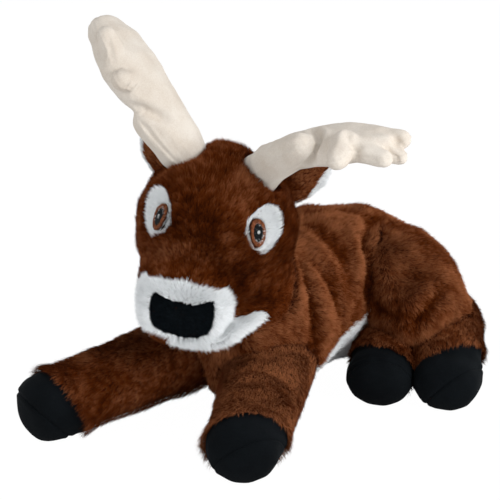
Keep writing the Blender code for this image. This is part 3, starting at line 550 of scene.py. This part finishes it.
def arrays(mesh):
    """Points, normals and edges of a mesh."""
    points = np.empty(len(mesh.vertices) * 3, np.float32)
    mesh.vertices.foreach_get("co", points)
    normals = np.empty(len(mesh.vertices) * 3, np.float32)
    mesh.vertices.foreach_get("normal", normals)
    edges = np.empty(len(mesh.edges) * 2, np.int32)
    mesh.edges.foreach_get("vertices", edges)
    return points.reshape(-1, 3).astype(float), normals.reshape(-1, 3).astype(float), edges.reshape(-1, 2)


def place_points(mesh, points):
    mesh.vertices.foreach_set("co", points.astype(np.float32).ravel())
    mesh.update()


def relax(values, edges, rounds, share=0.5):
    """Values that are evened out along the edges of a mesh."""
    count = np.bincount(edges.ravel(), minlength=len(values)).clip(1)[:, None]
    flat = values.reshape(len(values), -1)
    for _ in range(rounds):
        total = np.zeros_like(flat)
        for column in range(flat.shape[1]):
            total[:, column] = np.bincount(edges[:, 0], flat[edges[:, 1], column], len(flat))
            total[:, column] += np.bincount(edges[:, 1], flat[edges[:, 0], column], len(flat))
        flat = flat * (1 - share) + total / count * share
    return flat.reshape(values.shape)


def solid_tree(names):
    """A search tree over the solids of some nodes."""
    points, faces = [], []
    for name in names:
        mesh = NODES[name].data
        start = len(points)
        points += [v.co.copy() for v in mesh.vertices]
        faces += [tuple(start + i for i in p.vertices) for p in mesh.polygons]
    return BVHTree.FromPolygons(points, faces)


def woven(names, title, weave, rounds):
    """One smooth closed mesh in the room of some nodes."""
    form = bmesh.new()
    for name in names:
        form.from_mesh(NODES[name].data)
    bmesh.ops.remove_doubles(form, verts=form.verts, dist=1e-6)
    mesh = bpy.data.meshes.new(title)
    form.to_mesh(mesh)
    form.free()
    made = placed(title, mesh)
    step = made.modifiers.new("weave", "REMESH")
    step.mode = "VOXEL"
    step.voxel_size = weave
    graph = bpy.context.evaluated_depsgraph_get()
    rebuilt = bpy.data.meshes.new_from_object(made.evaluated_get(graph), depsgraph=graph)
    made.modifiers.clear()
    made.data = rebuilt
    points, _, edges = arrays(rebuilt)
    place_points(rebuilt, relax(points, edges, rounds))
    rebuilt.shade_smooth()
    return made


def clearance(points, normals, others, reach):
    """How far each point can go along its normal before it meets another piece, up to a reach."""
    found = np.full(len(points), reach)
    for k, (point, normal) in enumerate(zip(points, normals)):
        hit = others.ray_cast(Vector(point + normal * 0.0002), Vector(normal), reach)
        if hit[0] is not None:
            found[k] = hit[3]
    return found


def broad_noise(points, size, seed):
    """Smooth unevenness from -1 to 1."""
    shift = Vector((seed * 1.7, seed * 3.1, seed * 0.9))
    return np.array([noise.noise(Vector(point) / size + shift) for point in points])


def spaced(line, count):
    """Points at even shares along a line of points."""
    line = np.array(line)
    share = np.linspace(0, len(line) - 1, count)
    return np.stack([np.interp(share, np.arange(len(line)), line[:, axis]) for axis in range(3)], axis=1)


def fold_depth(points, folds):
    """How far each point sinks into the folds; beside a fold the skin puffs up."""
    total = np.zeros(len(points))
    for line, half_width, depth in folds:
        dense = spaced(line, FOLD_STEPS * len(line)) * MM
        apart = np.linalg.norm(points[:, None, :] - dense[None, :, :], axis=2)
        nearest = apart.argmin(axis=1)
        reach = apart.min(axis=1) / (half_width * MM)
        taper = np.sin(math.pi * (nearest + 4) / (len(dense) + 8)) ** 0.6
        puff = PUFF_SHARE * np.exp(-((reach - PUFF_PLACE) ** 2))
        total += depth * MM * taper * (np.exp(-(reach**2)) - puff)
    return total


def store(mesh, name, values):
    kind = "FLOAT_VECTOR" if values.ndim == 2 else "FLOAT"
    made = mesh.attributes.new(name, kind, "POINT")
    key = "vector" if values.ndim == 2 else "value"
    made.data.foreach_set(key, values.astype(np.float32).ravel())


def tangent(normals, wanted):
    """Directions laid into the surface, of length 1."""
    laid = wanted - normals * np.sum(normals * wanted, axis=1)[:, None]
    return laid / np.linalg.norm(laid, axis=1).clip(1e-9)[:, None]


def surface_tree(mesh):
    faces = [tuple(face.vertices) for face in mesh.polygons]
    return BVHTree.FromPolygons([vert.co.copy() for vert in mesh.vertices], faces)


def distance_to(points, tree):
    return np.array([tree.find_nearest(Vector(point))[3] for point in points])


def furred(
    names, title, weave, inset, rounds, flow, others, sink=None, folds=(), swell=0.0, bright=0.0, cuff=None
):
    """A skin that leaves room for the pile, with the cover, the length and the flow of the pile on it.

    A panel sinks as a whole, and another form draws in from all sides.
    """
    skin = woven(names, title, weave, rounds)
    mesh = skin.data
    points, normals, edges = arrays(mesh)
    before = points.copy()
    room = clearance(points, normals, others, NEAR_ROOM * 2)
    open_share = relax((room > NEAR_ROOM).astype(float), edges, 2)
    crease = np.zeros(len(points))
    if sink is None:
        across = clearance(points, -normals, surface_tree(mesh), NEAR_ROOM * 4)
        depth = np.minimum(inset * open_share, relax(across, edges, 2) * THIN_SHARE)
        if cuff is not None:
            from_seam = np.maximum(past_seam(points, cuff), 0)
            depth *= 1 - CUFF_EASE * np.exp(-((from_seam / CUFF_FADE) ** 2))
        drop = fold_depth(points, folds)
        # The share of a fold at each point: it shortens the pile, and darkens it as painted shade.
        crease = np.clip(drop / CREASE_DEPTH, 0, 1)
        depth += drop * open_share
        puffs = broad_noise(points, SWELL_SIZE, 1) * swell * open_share
        depth -= puffs + broad_noise(points, RIPPLE_SIZE, 2) * swell * RIPPLE_SHARE
        place_points(mesh, points - normals * depth[:, None])
        points, normals, edges = arrays(mesh)
        room = clearance(points, normals, others, NEAR_ROOM * 2)
    else:
        place_points(mesh, points - np.array(sink) * inset)
    under = (normals[:, 2] < -0.5) & (points[:, 2] < UNDER_HEIGHT)
    room = relax(room, edges, 1) / NEAR_ROOM
    store(mesh, "cover", (room > BURIED_SHARE) * np.where(under, UNDER_SHARE, 1.0))
    store(mesh, "pile", np.clip(room, LEAST_PILE, 1.0) * (1 - CREASE_SHORT * crease))
    store(mesh, "flow", tangent(normals, flow(points)))
    # Painted shade in the folds, with the painted light or shade given for the whole piece, goes to the
    # pile's tint.
    store(mesh, "crease", crease * CREASE_SHADE - bright)
    store(mesh, "keep", np.ones(len(points)))
    DRAWN_IN[title] = (before, arrays(mesh)[0] - before)
    return skin


def past_seam(points, seam):
    """How far points lie up the leg from the seam of its hoof."""
    place, normal = (np.array(value) for value in seam)
    return (points - place) @ (normal / np.linalg.norm(normal)) - CUFF_SHIFT


def read(mesh, name):
    values = np.empty(len(mesh.vertices), np.float32)
    mesh.attributes[name].data.foreach_get("value", values)
    return values


def write(mesh, name, values):
    mesh.attributes[name].data.foreach_set("value", values.astype(np.float32))


def piled(skin, title, finish, values, keep=None):
    """The pile on a skin where the keep values are above zero, in pieces, and above the floor."""
    settings = {
        "Strand": STRAND,
        "Density": 1.85e6,
        "Length": LONG_PILE,
        "Width": 0.00045,
        "Lean": math.radians(50),
        "Clump Size": 0.0048,
        "Clump Pull": 0.30,
        "Swirl": 1.0,
        "Fray": 0.2,
        "Seed": 1,
        "Material": finish,
    }
    settings.update(values)
    mesh = skin.data
    cover = read(mesh, "cover")
    keep = np.ones(len(cover)) if keep is None else keep
    write(mesh, "keep", keep)
    points, _, _ = arrays(mesh)
    used = cover * (keep > -0.002)
    area = sum(face.area for face in mesh.polygons) * used.mean()
    parts = math.ceil(area * settings["Density"] / MOST_STRANDS)
    axis = (points.max(0) - points.min(0)).argmax()
    marks = np.quantile(points[used > 0, axis], np.linspace(0, 1, parts + 1)[1:-1])
    region = np.searchsorted(marks, points[:, axis])
    grown = []
    for part in range(parts):
        write(mesh, "cover", cover * (region == part))
        mesh.update()
        made = PILE.grown(skin, f"{title}_{part + 1}" if parts > 1 else title, settings)
        tips, _, _ = arrays(made.data)
        tips[:, 2] = np.maximum(tips[:, 2], FLOOR_LIFT)
        place_points(made.data, tips)
        grown.append(made)
    write(mesh, "cover", cover)
    mesh.update()
    return grown


def dress(made, body, slot, finish=None, stands_for=()):
    if isinstance(made, list):
        return [dress(one, body, slot) for one in made]
    if finish:
        made.data.materials.clear()
        made.data.materials.append(finish)
    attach(made, body)
    if stands_for:
        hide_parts(*stands_for)
    return made


# Camera, light and floor


def camera():
    azimuth, elevation = math.radians(CAMERA_AZIMUTH), math.radians(CAMERA_ELEVATION)
    level = math.cos(elevation)
    back = Vector((math.sin(azimuth) * level, -math.cos(azimuth) * level, math.sin(elevation)))
    data = bpy.data.cameras.new("camera")
    data.lens = CAMERA_LENS
    data.sensor_width = CAMERA_SENSOR
    made = placed("camera", data)
    made.location = CAMERA_TARGET + back * CAMERA_DISTANCE
    made.rotation_mode = "QUATERNION"
    made.rotation_quaternion = (-back).to_track_quat("-Z", "Y")
    SCENE.camera = made


def lamp(name, place, target, size, power):
    data = bpy.data.lights.new(name, "AREA")
    data.size = size
    data.energy = power
    made = placed(name, data)
    made.location = place
    made.rotation_mode = "QUATERNION"
    made.rotation_quaternion = (Vector(target) - Vector(place)).to_track_quat("-Z", "Y")


def studio():
    """Soft light from all sides, a white surround, and a pale floor that keeps the shadow."""
    world = bpy.data.worlds.new("surround")
    SCENE.world = world
    world.use_nodes = True
    tree = world.node_tree
    tree.nodes.clear()
    path = add_node(tree, "ShaderNodeLightPath").outputs
    seen = path["Is Camera Ray"]
    for ray in ("Is Glossy Ray", "Is Transmission Ray"):
        seen = add_node(tree, "ShaderNodeMath", {"operation": "MAXIMUM"}, {0: seen, 1: path[ray]}).outputs[0]
    soft = add_node(tree, "ShaderNodeBackground", {}, {0: (0.97, 0.98, 1.0, 1.0), 1: 0.48})
    white = add_node(tree, "ShaderNodeBackground", {}, {0: (1.0, 1.0, 1.0, 1.0), 1: 1.0})
    mix = add_node(tree, "ShaderNodeMixShader", {}, {0: seen, 1: soft.outputs[0], 2: white.outputs[0]})
    add_node(tree, "ShaderNodeOutputWorld", {}, {0: mix.outputs[0]})
    lamp("key", (1.86, -0.10, 0.98), (0.03, 0.05, 0.15), 0.9, 29.0)
    lamp("top", (0.3, 0.3, 2.1), (0.0, 0.05, 0.15), 1.2, 4.0)
    lamp("fill", (-0.6, -1.8, 0.8), (0.0, 0.0, 0.15), 1.6, 9.5)

    mesh = bpy.data.meshes.new("floor")
    side = 6.0
    corners = [(-side, -side, 0), (side, -side, 0), (side, side, 0), (-side, side, 0)]
    mesh.from_pydata(corners, [], [(0, 1, 2, 3)])
    floor = placed("floor", mesh)
    shade = Shade("floor")
    shade.even(Roughness=1.0, Specular_IOR_Level=0.0)
    shade.shader.inputs["Base Color"].default_value = (0.9, 0.9, 0.9, 1.0)
    tree = shade.tree
    camera_ray = shade.node("ShaderNodeLightPath")
    emit = add_node(tree, "ShaderNodeEmission", {}, {0: (1.0, 1.0, 1.0, 1.0), 1: 1.02})
    sockets = {0: (camera_ray * 0.975).socket, 1: shade.shader.outputs[0], 2: emit.outputs[0]}
    blend = add_node(tree, "ShaderNodeMixShader", {}, sockets)
    tree.links.new(blend.outputs[0], tree.nodes["Material Output"].inputs[0])
    mesh.materials.append(shade.material)
    SCENE.view_settings.view_transform = "Standard"


camera()
studio()

STRAND = strand_pattern()
PILE = pile_tree()
THREAD = thread_tree()

BROWN = pile_finish("brown_pile", tone(40, 12, 1), tone(88, 37, 7), tone(156, 96, 61), 0.03, 1.0)
WHITE = pile_finish("white_pile", tone(212, 215, 216), tone(240, 243, 244), tone(248, 250, 251), 0.05, 0.4)
BLACK = pile_finish("nose_pile", tone(3, 5, 6), tone(9, 13, 16), tone(22, 28, 32), 0.0, 0.5)
BROWN_BACK = backing_finish("brown_backing", tone(60, 23, 6), tone(40, 14, 3))
WHITE_BACK = backing_finish("white_backing", tone(212, 214, 214), tone(190, 193, 194))
BLACK_BACK = backing_finish("nose_backing", tone(9, 12, 14), tone(5, 7, 9))
CREAM_VELOUR = velour_finish("cream_velour", tone(224, 216, 205), tone(203, 190, 175), 0.08)
BLACK_VELOUR = velour_finish("black_velour", tone(10, 14, 17), tone(3, 5, 7), 0.0)
IRIS_THREAD = thread_finish("iris_thread", tone(136, 78, 46), tone(70, 34, 16))
PUPIL_THREAD = thread_finish("pupil_thread", tone(8, 12, 16), tone(3, 5, 7))
GLINT_THREAD = thread_finish("glint_thread", tone(244, 246, 246), tone(214, 218, 218))

ALL = set(NODES)
FACE_NODES = ["nose_patch", "muzzle_band", "chin_band"]
for side in ("left", "right"):
    FACE_NODES += [f"{side}_eye_patch", f"{side}_iris", f"{side}_pupil", f"{side}_eye_glint"]


def middle_of(name):
    points = np.array([v.co for v in NODES[name].data.vertices])
    return (points.min(0) + points.max(0)) / 2


def make_body():
    def flow(points):
        wanted = np.zeros_like(points)
        wanted[:, 1] = 1.0
        wanted[:, 2] = -0.55
        return wanted

    others = solid_tree(ALL - {"body"})
    # The body's pile is lightened by a painted light, and darkened in its folds by painted shade.
    shape = {"folds": BODY_FOLDS, "swell": 0.0034, "bright": 0.28}
    skin = furred(["body"], "body_skin", BODY_WEAVE, PILE_ROOM, 16, flow, others, **shape)
    pile = piled(skin, "body_pile", BROWN, {})
    dress(skin, "trunk", "brown_plush", BROWN_BACK, ["body"])
    dress(pile, "trunk", "brown_plush")


def make_head():
    names = ["head", *FACE_NODES]
    eyes = [middle_of("left_iris"), middle_of("right_iris")]
    nose = middle_of("nose_patch")

    def flow(points):
        wanted = np.tile(np.array([0.0, 0.4, 0.8]), (len(points), 1))
        wanted[:, 0] += (points[:, 0] - nose[0]) / 0.05
        from_nose = points - nose
        reach = np.linalg.norm(from_nose, axis=1)[:, None]
        near_nose = np.exp(-((reach / NOSE_REACH) ** 4))
        below = np.clip((nose[2] + 0.01 - points[:, 2]) / 0.03, 0, 1)[:, None]
        wanted = wanted * (1 - near_nose) + from_nose / reach * near_nose * 1.5
        wanted = wanted * (1 - below) + below * (from_nose / reach + np.array([0.0, 0.3, -0.5]))
        for eye in eyes:
            away = points - eye
            reach = np.linalg.norm(away, axis=1)[:, None]
            near_eye = np.exp(-((reach / EYE_REACH) ** 4))
            wanted = wanted * (1 - near_eye) + away / reach * near_eye
        return wanted

    others = solid_tree(ALL - set(names))
    # The head's pile is darkened all over by painted shade, and more in its folds.
    shape = {"folds": HEAD_FOLDS, "swell": 0.0018, "bright": HEAD_PAINTED_LIGHT}
    skin = furred(names, "head_skin", HEAD_WEAVE, PILE_ROOM, 12, flow, others, **shape)
    mesh = skin.data
    points, normals, _ = arrays(mesh)
    write(mesh, "pile", read(mesh, "pile") * (1 + 0.5 * np.clip((points[:, 2] - CROWN_HEIGHT) / 0.02, 0, 1)))
    antler = distance_to(points, solid_tree(["left_antler", "right_antler"]))
    write(mesh, "pile", read(mesh, "pile") * (1 - 0.6 * np.exp(-((antler / BARE_REACH) ** 2))))
    lifted = points + normals * PILE_ROOM
    apart = {name: distance_to(lifted, solid_tree([name])) for name in names}
    brown = min_of(apart, FACE_NODES) - apart["head"]
    for side in ("left", "right"):
        brown = np.minimum(brown, apart[f"{side}_iris"] - IRIS_MARGIN)
    brown = np.minimum(brown, apart["nose_patch"] - NOSE_MARGIN)
    dress(piled(skin, "head_pile", BROWN, FACE, brown), "head_group", "brown_plush")
    # The head's painted shade is taken off again, so the white and black patches keep only the painted shade
    # of their folds.
    write(mesh, "crease", read(mesh, "crease") + HEAD_PAINTED_LIGHT)
    white = {"Length": WHITE_PILE, "Lean": math.radians(28), "Clump Size": 0.0042, "Swirl": 0.6}
    white["Density"] = 3.2e6
    puffed = {**white, "Length": MUZZLE_PILE, "Lean": math.radians(36)}
    black = {"Length": NOSE_PILE, "Lean": math.radians(60), "Clump Size": 0.003, "Width": 0.0003}
    black["Density"] = 4.5e6
    for name in ("left_eye_patch", "right_eye_patch", "muzzle_band", "chin_band", "nose_patch"):
        slot, finish, backing, values = "white_plush", WHITE, WHITE_BACK, puffed
        own = min_of(apart, set(names) - {name}) - apart[name]
        if name == "nose_patch":
            slot, finish, backing, values = "nose_plush", BLACK, BLACK_BACK, black
        elif name == "muzzle_band":
            beside = apart["nose_patch"] - min_of(apart, set(names) - {"nose_patch"})
            own = np.maximum(own, np.minimum(NOSE_MARGIN - apart["nose_patch"], beside))
        elif "eye" in name:
            values = white
            iris = apart[name.replace("eye_patch", "iris")]
            own = np.maximum(own, IRIS_MARGIN - iris)
            own = np.minimum(own, iris - 0.0008)
        dress(piled(skin, f"{name}_pile", finish, values, own), "head_group", slot)
        panel = woven([name], f"{name}_skin", PATCH_WEAVE, 2)
        settle(panel, skin)
        dress(panel, "head_group", slot, backing, [name])
    dress(skin, "head_group", "brown_plush", BROWN_BACK, ["head"])


def min_of(apart, names):
    return np.min([apart[name] for name in names], axis=0)


def settle(panel, skin):
    """Draws a panel in as far as the skin round it, and lays it just proud of that skin."""
    before, drawn = DRAWN_IN[skin.name]
    faces = [tuple(face.vertices) for face in skin.data.polygons]
    surface = BVHTree.FromPolygons([Vector(point) for point in before], faces)
    points, _, edges = arrays(panel.data)
    moved = np.zeros_like(points)
    for k, point in enumerate(points):
        place, normal, index, distance = surface.find_nearest(Vector(point))
        moved[k] = drawn[list(faces[index])].mean(axis=0)
        if distance > PANEL_PROUD and (Vector(point) - place).dot(normal) > 0:
            points[k] = place + normal * PANEL_PROUD
    place_points(panel.data, points + relax(moved, edges, 3))


def outward_of(name):
    """The mean direction that the open side of an inlaid panel faces."""
    others = solid_tree(ALL - {name})
    total = Vector()
    for face in NODES[name].data.polygons:
        if others.ray_cast(face.center + face.normal * 0.0002, face.normal, 0.02)[0] is None:
            total += face.normal * face.area
    return total.normalized()


def make_limb(name, body, flow, slot="brown_plush", weave=LIMB_WEAVE, inset=PILE_ROOM, values=None, **shape):
    """A furred form that stands for one node."""
    finish, backing = {"brown_plush": (BROWN, BROWN_BACK), "white_plush": (WHITE, WHITE_BACK)}[slot]
    cuff, seam = shape.pop("cuff", (None, None))
    rim = shape.pop("rim", None)
    rounds = shape.pop("rounds", 10)
    nodes = [name, cuff] if cuff else [name]
    others = solid_tree(ALL - set(nodes))
    skin = furred(nodes, f"{name}_skin", weave, inset, rounds, flow, others, cuff=seam, **shape)
    points, normals, _ = arrays(skin.data)
    keep = None
    if cuff:
        keep = past_seam(points, seam)
        write(skin.data, "pile", read(skin.data, "pile") * (1 + 0.4 * np.exp(-((keep / 0.008) ** 2))))
    if rim:
        line = spaced(EAR_RIMS[name.split("_")[0]], 40) * MM
        along = np.gradient(line, axis=0)
        along /= np.linalg.norm(along, axis=1)[:, None]
        outward = tangent(along, line - points.mean(axis=0))
        apart = np.linalg.norm(points[:, None] - line[None], axis=2)
        nearest = apart.argmin(axis=1)
        short_of = -np.sum((points - line[nearest]) * outward[nearest], axis=1) - RIM_WIDTH
        keep = np.maximum(short_of, apart.min(axis=1) - RIM_BAND)
        keep = np.minimum(keep, distance_to(points, solid_tree([rim])) - RIM_REACH)
        settings = {"Length": EAR_PILE, "Clump Size": 0.003, "Lean": math.radians(55), "Density": 4.0e6}
        dress(piled(skin, f"{name}_rim_pile", WHITE, settings, -keep), body, "white_plush")
    pile = piled(skin, f"{name}_pile", finish, values or {}, keep)
    if cuff:
        trim(skin, keep)
    dress(skin, body, slot, backing, [name])
    dress(pile, body, slot)


def trim(skin, keep):
    """Takes the skin away past the seam, and closes it there."""
    form = bmesh.new()
    form.from_mesh(skin.data)
    form.verts.ensure_lookup_table()
    past = [vert for vert, value in zip(form.verts[:], keep) if value < -TRIM_MARGIN]
    bmesh.ops.delete(form, geom=past, context="VERTS")
    close_up(form, skin.data)


def close_up(form, mesh):
    """Closes the open edges of a form, and puts it into a mesh."""
    bmesh.ops.holes_fill(form, edges=[edge for edge in form.edges if len(edge.link_faces) == 1])
    bmesh.ops.recalc_face_normals(form, faces=form.faces)
    form.to_mesh(mesh)
    form.free()


def make_panel(name, body, finish, backing, slot, flow, values):
    """An inlaid panel of pile."""
    out = outward_of(name)
    others = solid_tree(ALL - {name})
    skin = furred([name], f"{name}_skin", PANEL_WEAVE, PATCH_SINK, 2, flow, others, sink=out)
    pile = piled(skin, f"{name}_pile", finish, values)
    dress(skin, body, slot, backing, [name])
    dress(pile, body, slot)


def even_flow(direction):
    wanted = np.array(direction, float)

    def flow(points):
        return np.tile(wanted, (len(points), 1))

    return flow


def radial_flow(centre, extra):
    centre = np.array(centre, float)

    def flow(points):
        away = points - centre
        away /= np.linalg.norm(away, axis=1).clip(1e-6)[:, None]
        return away + np.array(extra)

    return flow


def make_front_legs():
    for side in ("left", "right"):
        heading = Vector(middle_of(f"{side}_front_hoof")) - Vector(middle_of(f"{side}_front_leg"))
        body = f"{side}_front_limb"
        flow = even_flow(heading.normalized() - Vector((0, 0, 0.25)))
        # The left front leg's pile is lightened by a painted light and darkened in its folds by painted
        # shade; the right one gets a slight painted shade.
        folds, bright = (LEG_FOLDS, 0.85) if side == "left" else ((), -0.15)
        leg, hoof = f"{side}_front_leg", f"{side}_front_hoof"
        cuff = (hoof, CUFF_SEAMS[f"{side}_front"])
        make_limb(leg, body, flow, values=LEG_PILE, folds=folds, swell=0.0018, cuff=cuff, bright=bright)
        make_hoof(side, "front", body)


def make_hind_legs():
    for side in ("left", "right"):
        middle = middle_of(f"{side}_thigh")
        flow = radial_flow(middle + np.array([-0.05, -0.03, 0.10]), (0.1, 0.7, -0.4))
        # The thigh's pile is darkened in its folds by painted shade.
        make_limb(f"{side}_thigh", "trunk", flow, folds=THIGH_FOLDS, swell=0.0020)
        leg, hoof = f"{side}_hind_leg", f"{side}_hind_hoof"
        heading = (Vector(middle_of(hoof)) - Vector(middle_of(leg))).normalized()
        cuff = (hoof, CUFF_SEAMS[f"{side}_hind"])
        make_limb(leg, "trunk", even_flow(heading), values=LEG_PILE, swell=0.0012, cuff=cuff)
        make_hoof(side, "hind", "trunk")


def half_of(source, title, place, normal):
    """The part of a closed skin behind a plane, closed again there."""
    form = bmesh.new()
    form.from_mesh(source.data)
    everything = form.verts[:] + form.edges[:] + form.faces[:]
    bmesh.ops.bisect_plane(form, geom=everything, plane_co=place, plane_no=normal, clear_outer=True)
    mesh = bpy.data.meshes.new(title)
    close_up(form, mesh)
    return placed(title, mesh)


def make_hoof(side, end, body):
    """The velour sock of a hoof and its sole, with the rolled seam between them."""
    hoof, sole = f"{side}_{end}_hoof", f"{side}_{end}_sole"
    place, normal = (np.array(value) for value in SOLE_SEAMS[f"{side}_{end}"])
    normal /= np.linalg.norm(normal)
    cuff, up_leg = (np.array(value) for value in CUFF_SEAMS[f"{side}_{end}"])
    up_leg /= np.linalg.norm(up_leg)
    full = woven([hoof, sole, f"{side}_{end}_leg"], f"{hoof}_full", HOOF_WEAVE, 24)
    whole = half_of(full, f"{hoof}_whole", cuff + up_leg * (CUFF_SHIFT + CUFF_TUCK), up_leg)
    bpy.data.objects.remove(full)
    points, normals, _ = arrays(whole.data)
    apart = (points - place) @ normal
    groove = SEAM_DROP * np.exp(-((apart / SEAM_HALF) ** 2))
    roll = ROLL_RISE * np.exp(-(((np.abs(apart) - ROLL_PLACE) / ROLL_HALF) ** 2))
    room = clearance(points, normals, solid_tree(ALL - {hoof, sole, f"{side}_{end}_leg"}), NEAR_ROOM)
    swell = broad_noise(points, LUMP_SIZE, 4) * LUMP_RISE * (room > NEAR_ROOM * 0.9)
    points -= normals * (groove - roll - swell)[:, None]
    points[:, 2] = np.maximum(points[:, 2], FLOOR_LIFT)
    place_points(whole.data, points)
    for name, facing in ((sole, normal), (hoof, -normal)):
        skin = half_of(whole, f"{name}_velour", place, facing)
        dress(skin, body, "black_velour", BLACK_VELOUR, [name])
    bpy.data.objects.remove(whole)


def make_antlers():
    """Stuffed velour with a rolled seam round its edge, and puckers along the seam."""
    for side, folds in (("left", LEFT_ANTLER_FOLDS), ("right", RIGHT_ANTLER_FOLDS)):
        name = f"{side}_antler"
        skin = woven([name], f"{name}_velour", ANTLER_WEAVE, 12)
        points, normals, edges = arrays(skin.data)
        through = thin_direction(normals)
        facing = relax(normals @ through, edges, 3)
        lip = np.exp(-((facing / LIP_HALF) ** 2))
        groove = np.exp(-(((np.abs(facing) - GROOVE_PLACE) / GROOVE_HALF) ** 2))
        along = points @ np.array([0.7, 0.4, 0.6]) / PUCKER_PITCH
        beside = np.exp(-(((np.abs(facing) - PUCKER_PLACE) / PUCKER_HALF) ** 2))
        pucker = np.sin(2 * math.pi * along) * beside
        rise = lip * LIP_RISE - groove * GROOVE_DROP + pucker * PUCKER_RISE
        rise -= fold_depth(points, folds)
        rise += broad_noise(points, 0.024, 5) * 0.0012 + broad_noise(points, 0.010, 6) * 0.0004
        room = clearance(points, normals, solid_tree(ALL - {name}), NEAR_ROOM)
        rise *= relax((room > NEAR_ROOM * 0.9).astype(float), edges, 2)
        place_points(skin.data, points + normals * rise[:, None])
        dress(skin, f"{name}_group", "cream_velour", CREAM_VELOUR, [name])


def thin_direction(normals):
    """The direction through the thickness of a flat form: the one that most of its skin faces."""
    return np.linalg.eigh(normals.T @ normals)[1][:, -1]


def make_ears():
    for side in ("left", "right"):
        body = f"{side}_ear_group"
        root = Vector(middle_of("head"))
        ear = Vector(middle_of(f"{side}_ear"))
        out = (ear - root).normalized()
        settings = {"Length": EAR_PILE, "Clump Size": 0.004, "Lean": math.radians(60)}
        lining = f"{side}_ear_lining"
        flow = even_flow(out)
        make_limb(f"{side}_ear", body, flow, weave=0.0018, inset=0.0018, values=settings, rim=lining)
        white = {"Length": WHITE_PILE, "Clump Size": 0.004, "Lean": math.radians(35), "Density": 3.0e6}
        flow = radial_flow(ear, tuple(out * 0.4))
        make_limb(lining, body, flow, "white_plush", weave=0.0016, inset=0.0008, values=white, rounds=6)


def make_tail():
    root = Vector(middle_of("body"))
    flow = even_flow((Vector(middle_of("tail")) - root).normalized())
    settings = {"Length": LONG_PILE, "Clump Size": 0.006}
    make_limb("tail", "tail_group", flow, weave=0.002, inset=0.002, values=settings)
    make_limb("tail_lining", "tail_group", flow, "white_plush", weave=0.002, inset=0.0015, values=settings)


def make_belly():
    settings = {"Length": WHITE_PILE, "Clump Size": 0.005}
    flow = even_flow((0.0, 1.0, -0.3))
    make_panel("belly_panel", "trunk", WHITE, WHITE_BACK, "white_plush", flow, settings)


def make_eyes():
    """Embroidered ovals: laid threads over a padded plate."""
    slots = {
        "iris": ("brown_thread", IRIS_THREAD),
        "pupil": ("dark_thread", PUPIL_THREAD),
        "eye_glint": ("white_thread", GLINT_THREAD),
    }
    for side in ("left", "right"):
        for part, (slot, finish) in slots.items():
            name = f"{side}_{part}"
            plate = woven([name], f"{name}_plate", 0.0007, 2)
            threads = laid_threads(name, part, finish)
            for made in (plate, threads):
                points, _, _ = arrays(made.data)
                place_points(made.data, points + np.array(outward_of(name)) * EYE_RAISE)
            dress(plate, "head_group", slot, finish, [name])
            dress(threads, "head_group", slot)


def laid_threads(name, part, finish):
    """Threads over an oval: round the pupil for the iris, and side by side for the rest."""
    out = outward_of(name)
    solid = solid_tree([name])
    points = np.array([v.co for v in NODES[name].data.vertices])
    middle = Vector(points.mean(0))
    rise = (Vector((0, 0, 1)) - out * out.z).normalized()
    across = rise.cross(out)
    apart = points - np.array(middle)
    flat = np.stack([apart @ np.array(across), apart @ np.array(rise)])
    half_x, half_y = (flat.max(1) - flat.min(1)) / 2
    middle += across * (flat[0].max() + flat[0].min()) / 2 + rise * (flat[1].max() + flat[1].min()) / 2
    reach = max(half_x, half_y)
    paths = []
    if part == "iris":
        turns = round(2 * math.pi * reach / THREAD_PITCH)
        for k in range(turns):
            turn = 2 * math.pi * k / turns
            way = Vector((math.cos(turn), math.sin(turn)))
            paths.append([(way * share * reach * 1.2) for share in np.linspace(0.35, 1.0, 26)])
    else:
        rows = round(2 * half_y / THREAD_PITCH)
        for k in range(rows):
            height = -half_y + (k + 0.5) * 2 * half_y / rows
            paths.append([Vector((x, height)) for x in np.linspace(-half_x * 1.1, half_x * 1.1, 30)])
    verts, edges, tints = [], [], []
    draw = np.random.default_rng(7)
    for path in paths:
        line = []
        for spot in path:
            start = middle + across * spot.x + rise * spot.y + out * 0.02
            hit = solid.ray_cast(start, -out, 0.04)
            if hit[0] is not None and hit[1].dot(out) > 0.5:
                line.append(hit[0] + out * THREAD_RAISE)
        if len(line) < 3:
            continue
        shade = draw.random()
        base = len(verts)
        verts += [line[0] - out * THREAD_RAISE * 2, *line, line[-1] - out * THREAD_RAISE * 2]
        count = len(line) + 2
        edges += [(base + k, base + k + 1) for k in range(count - 1)]
        tints += [shade] * count
    mesh = bpy.data.meshes.new(name)
    mesh.from_pydata(verts, edges, [])
    store(mesh, "tint", np.array(tints))
    source = placed(f"{name}_lines", mesh)
    made = THREAD.grown(source, f"{name}_threads", {"Radius": THREAD_PITCH * 0.62, "Material": finish})
    bpy.data.objects.remove(source)
    return made


make_body()
make_head()
make_front_legs()
make_hind_legs()
make_antlers()
make_ears()
make_tail()
make_belly()
make_eyes()

bpy.data.objects.remove(STRAND)
bpy.context.view_layer.update()
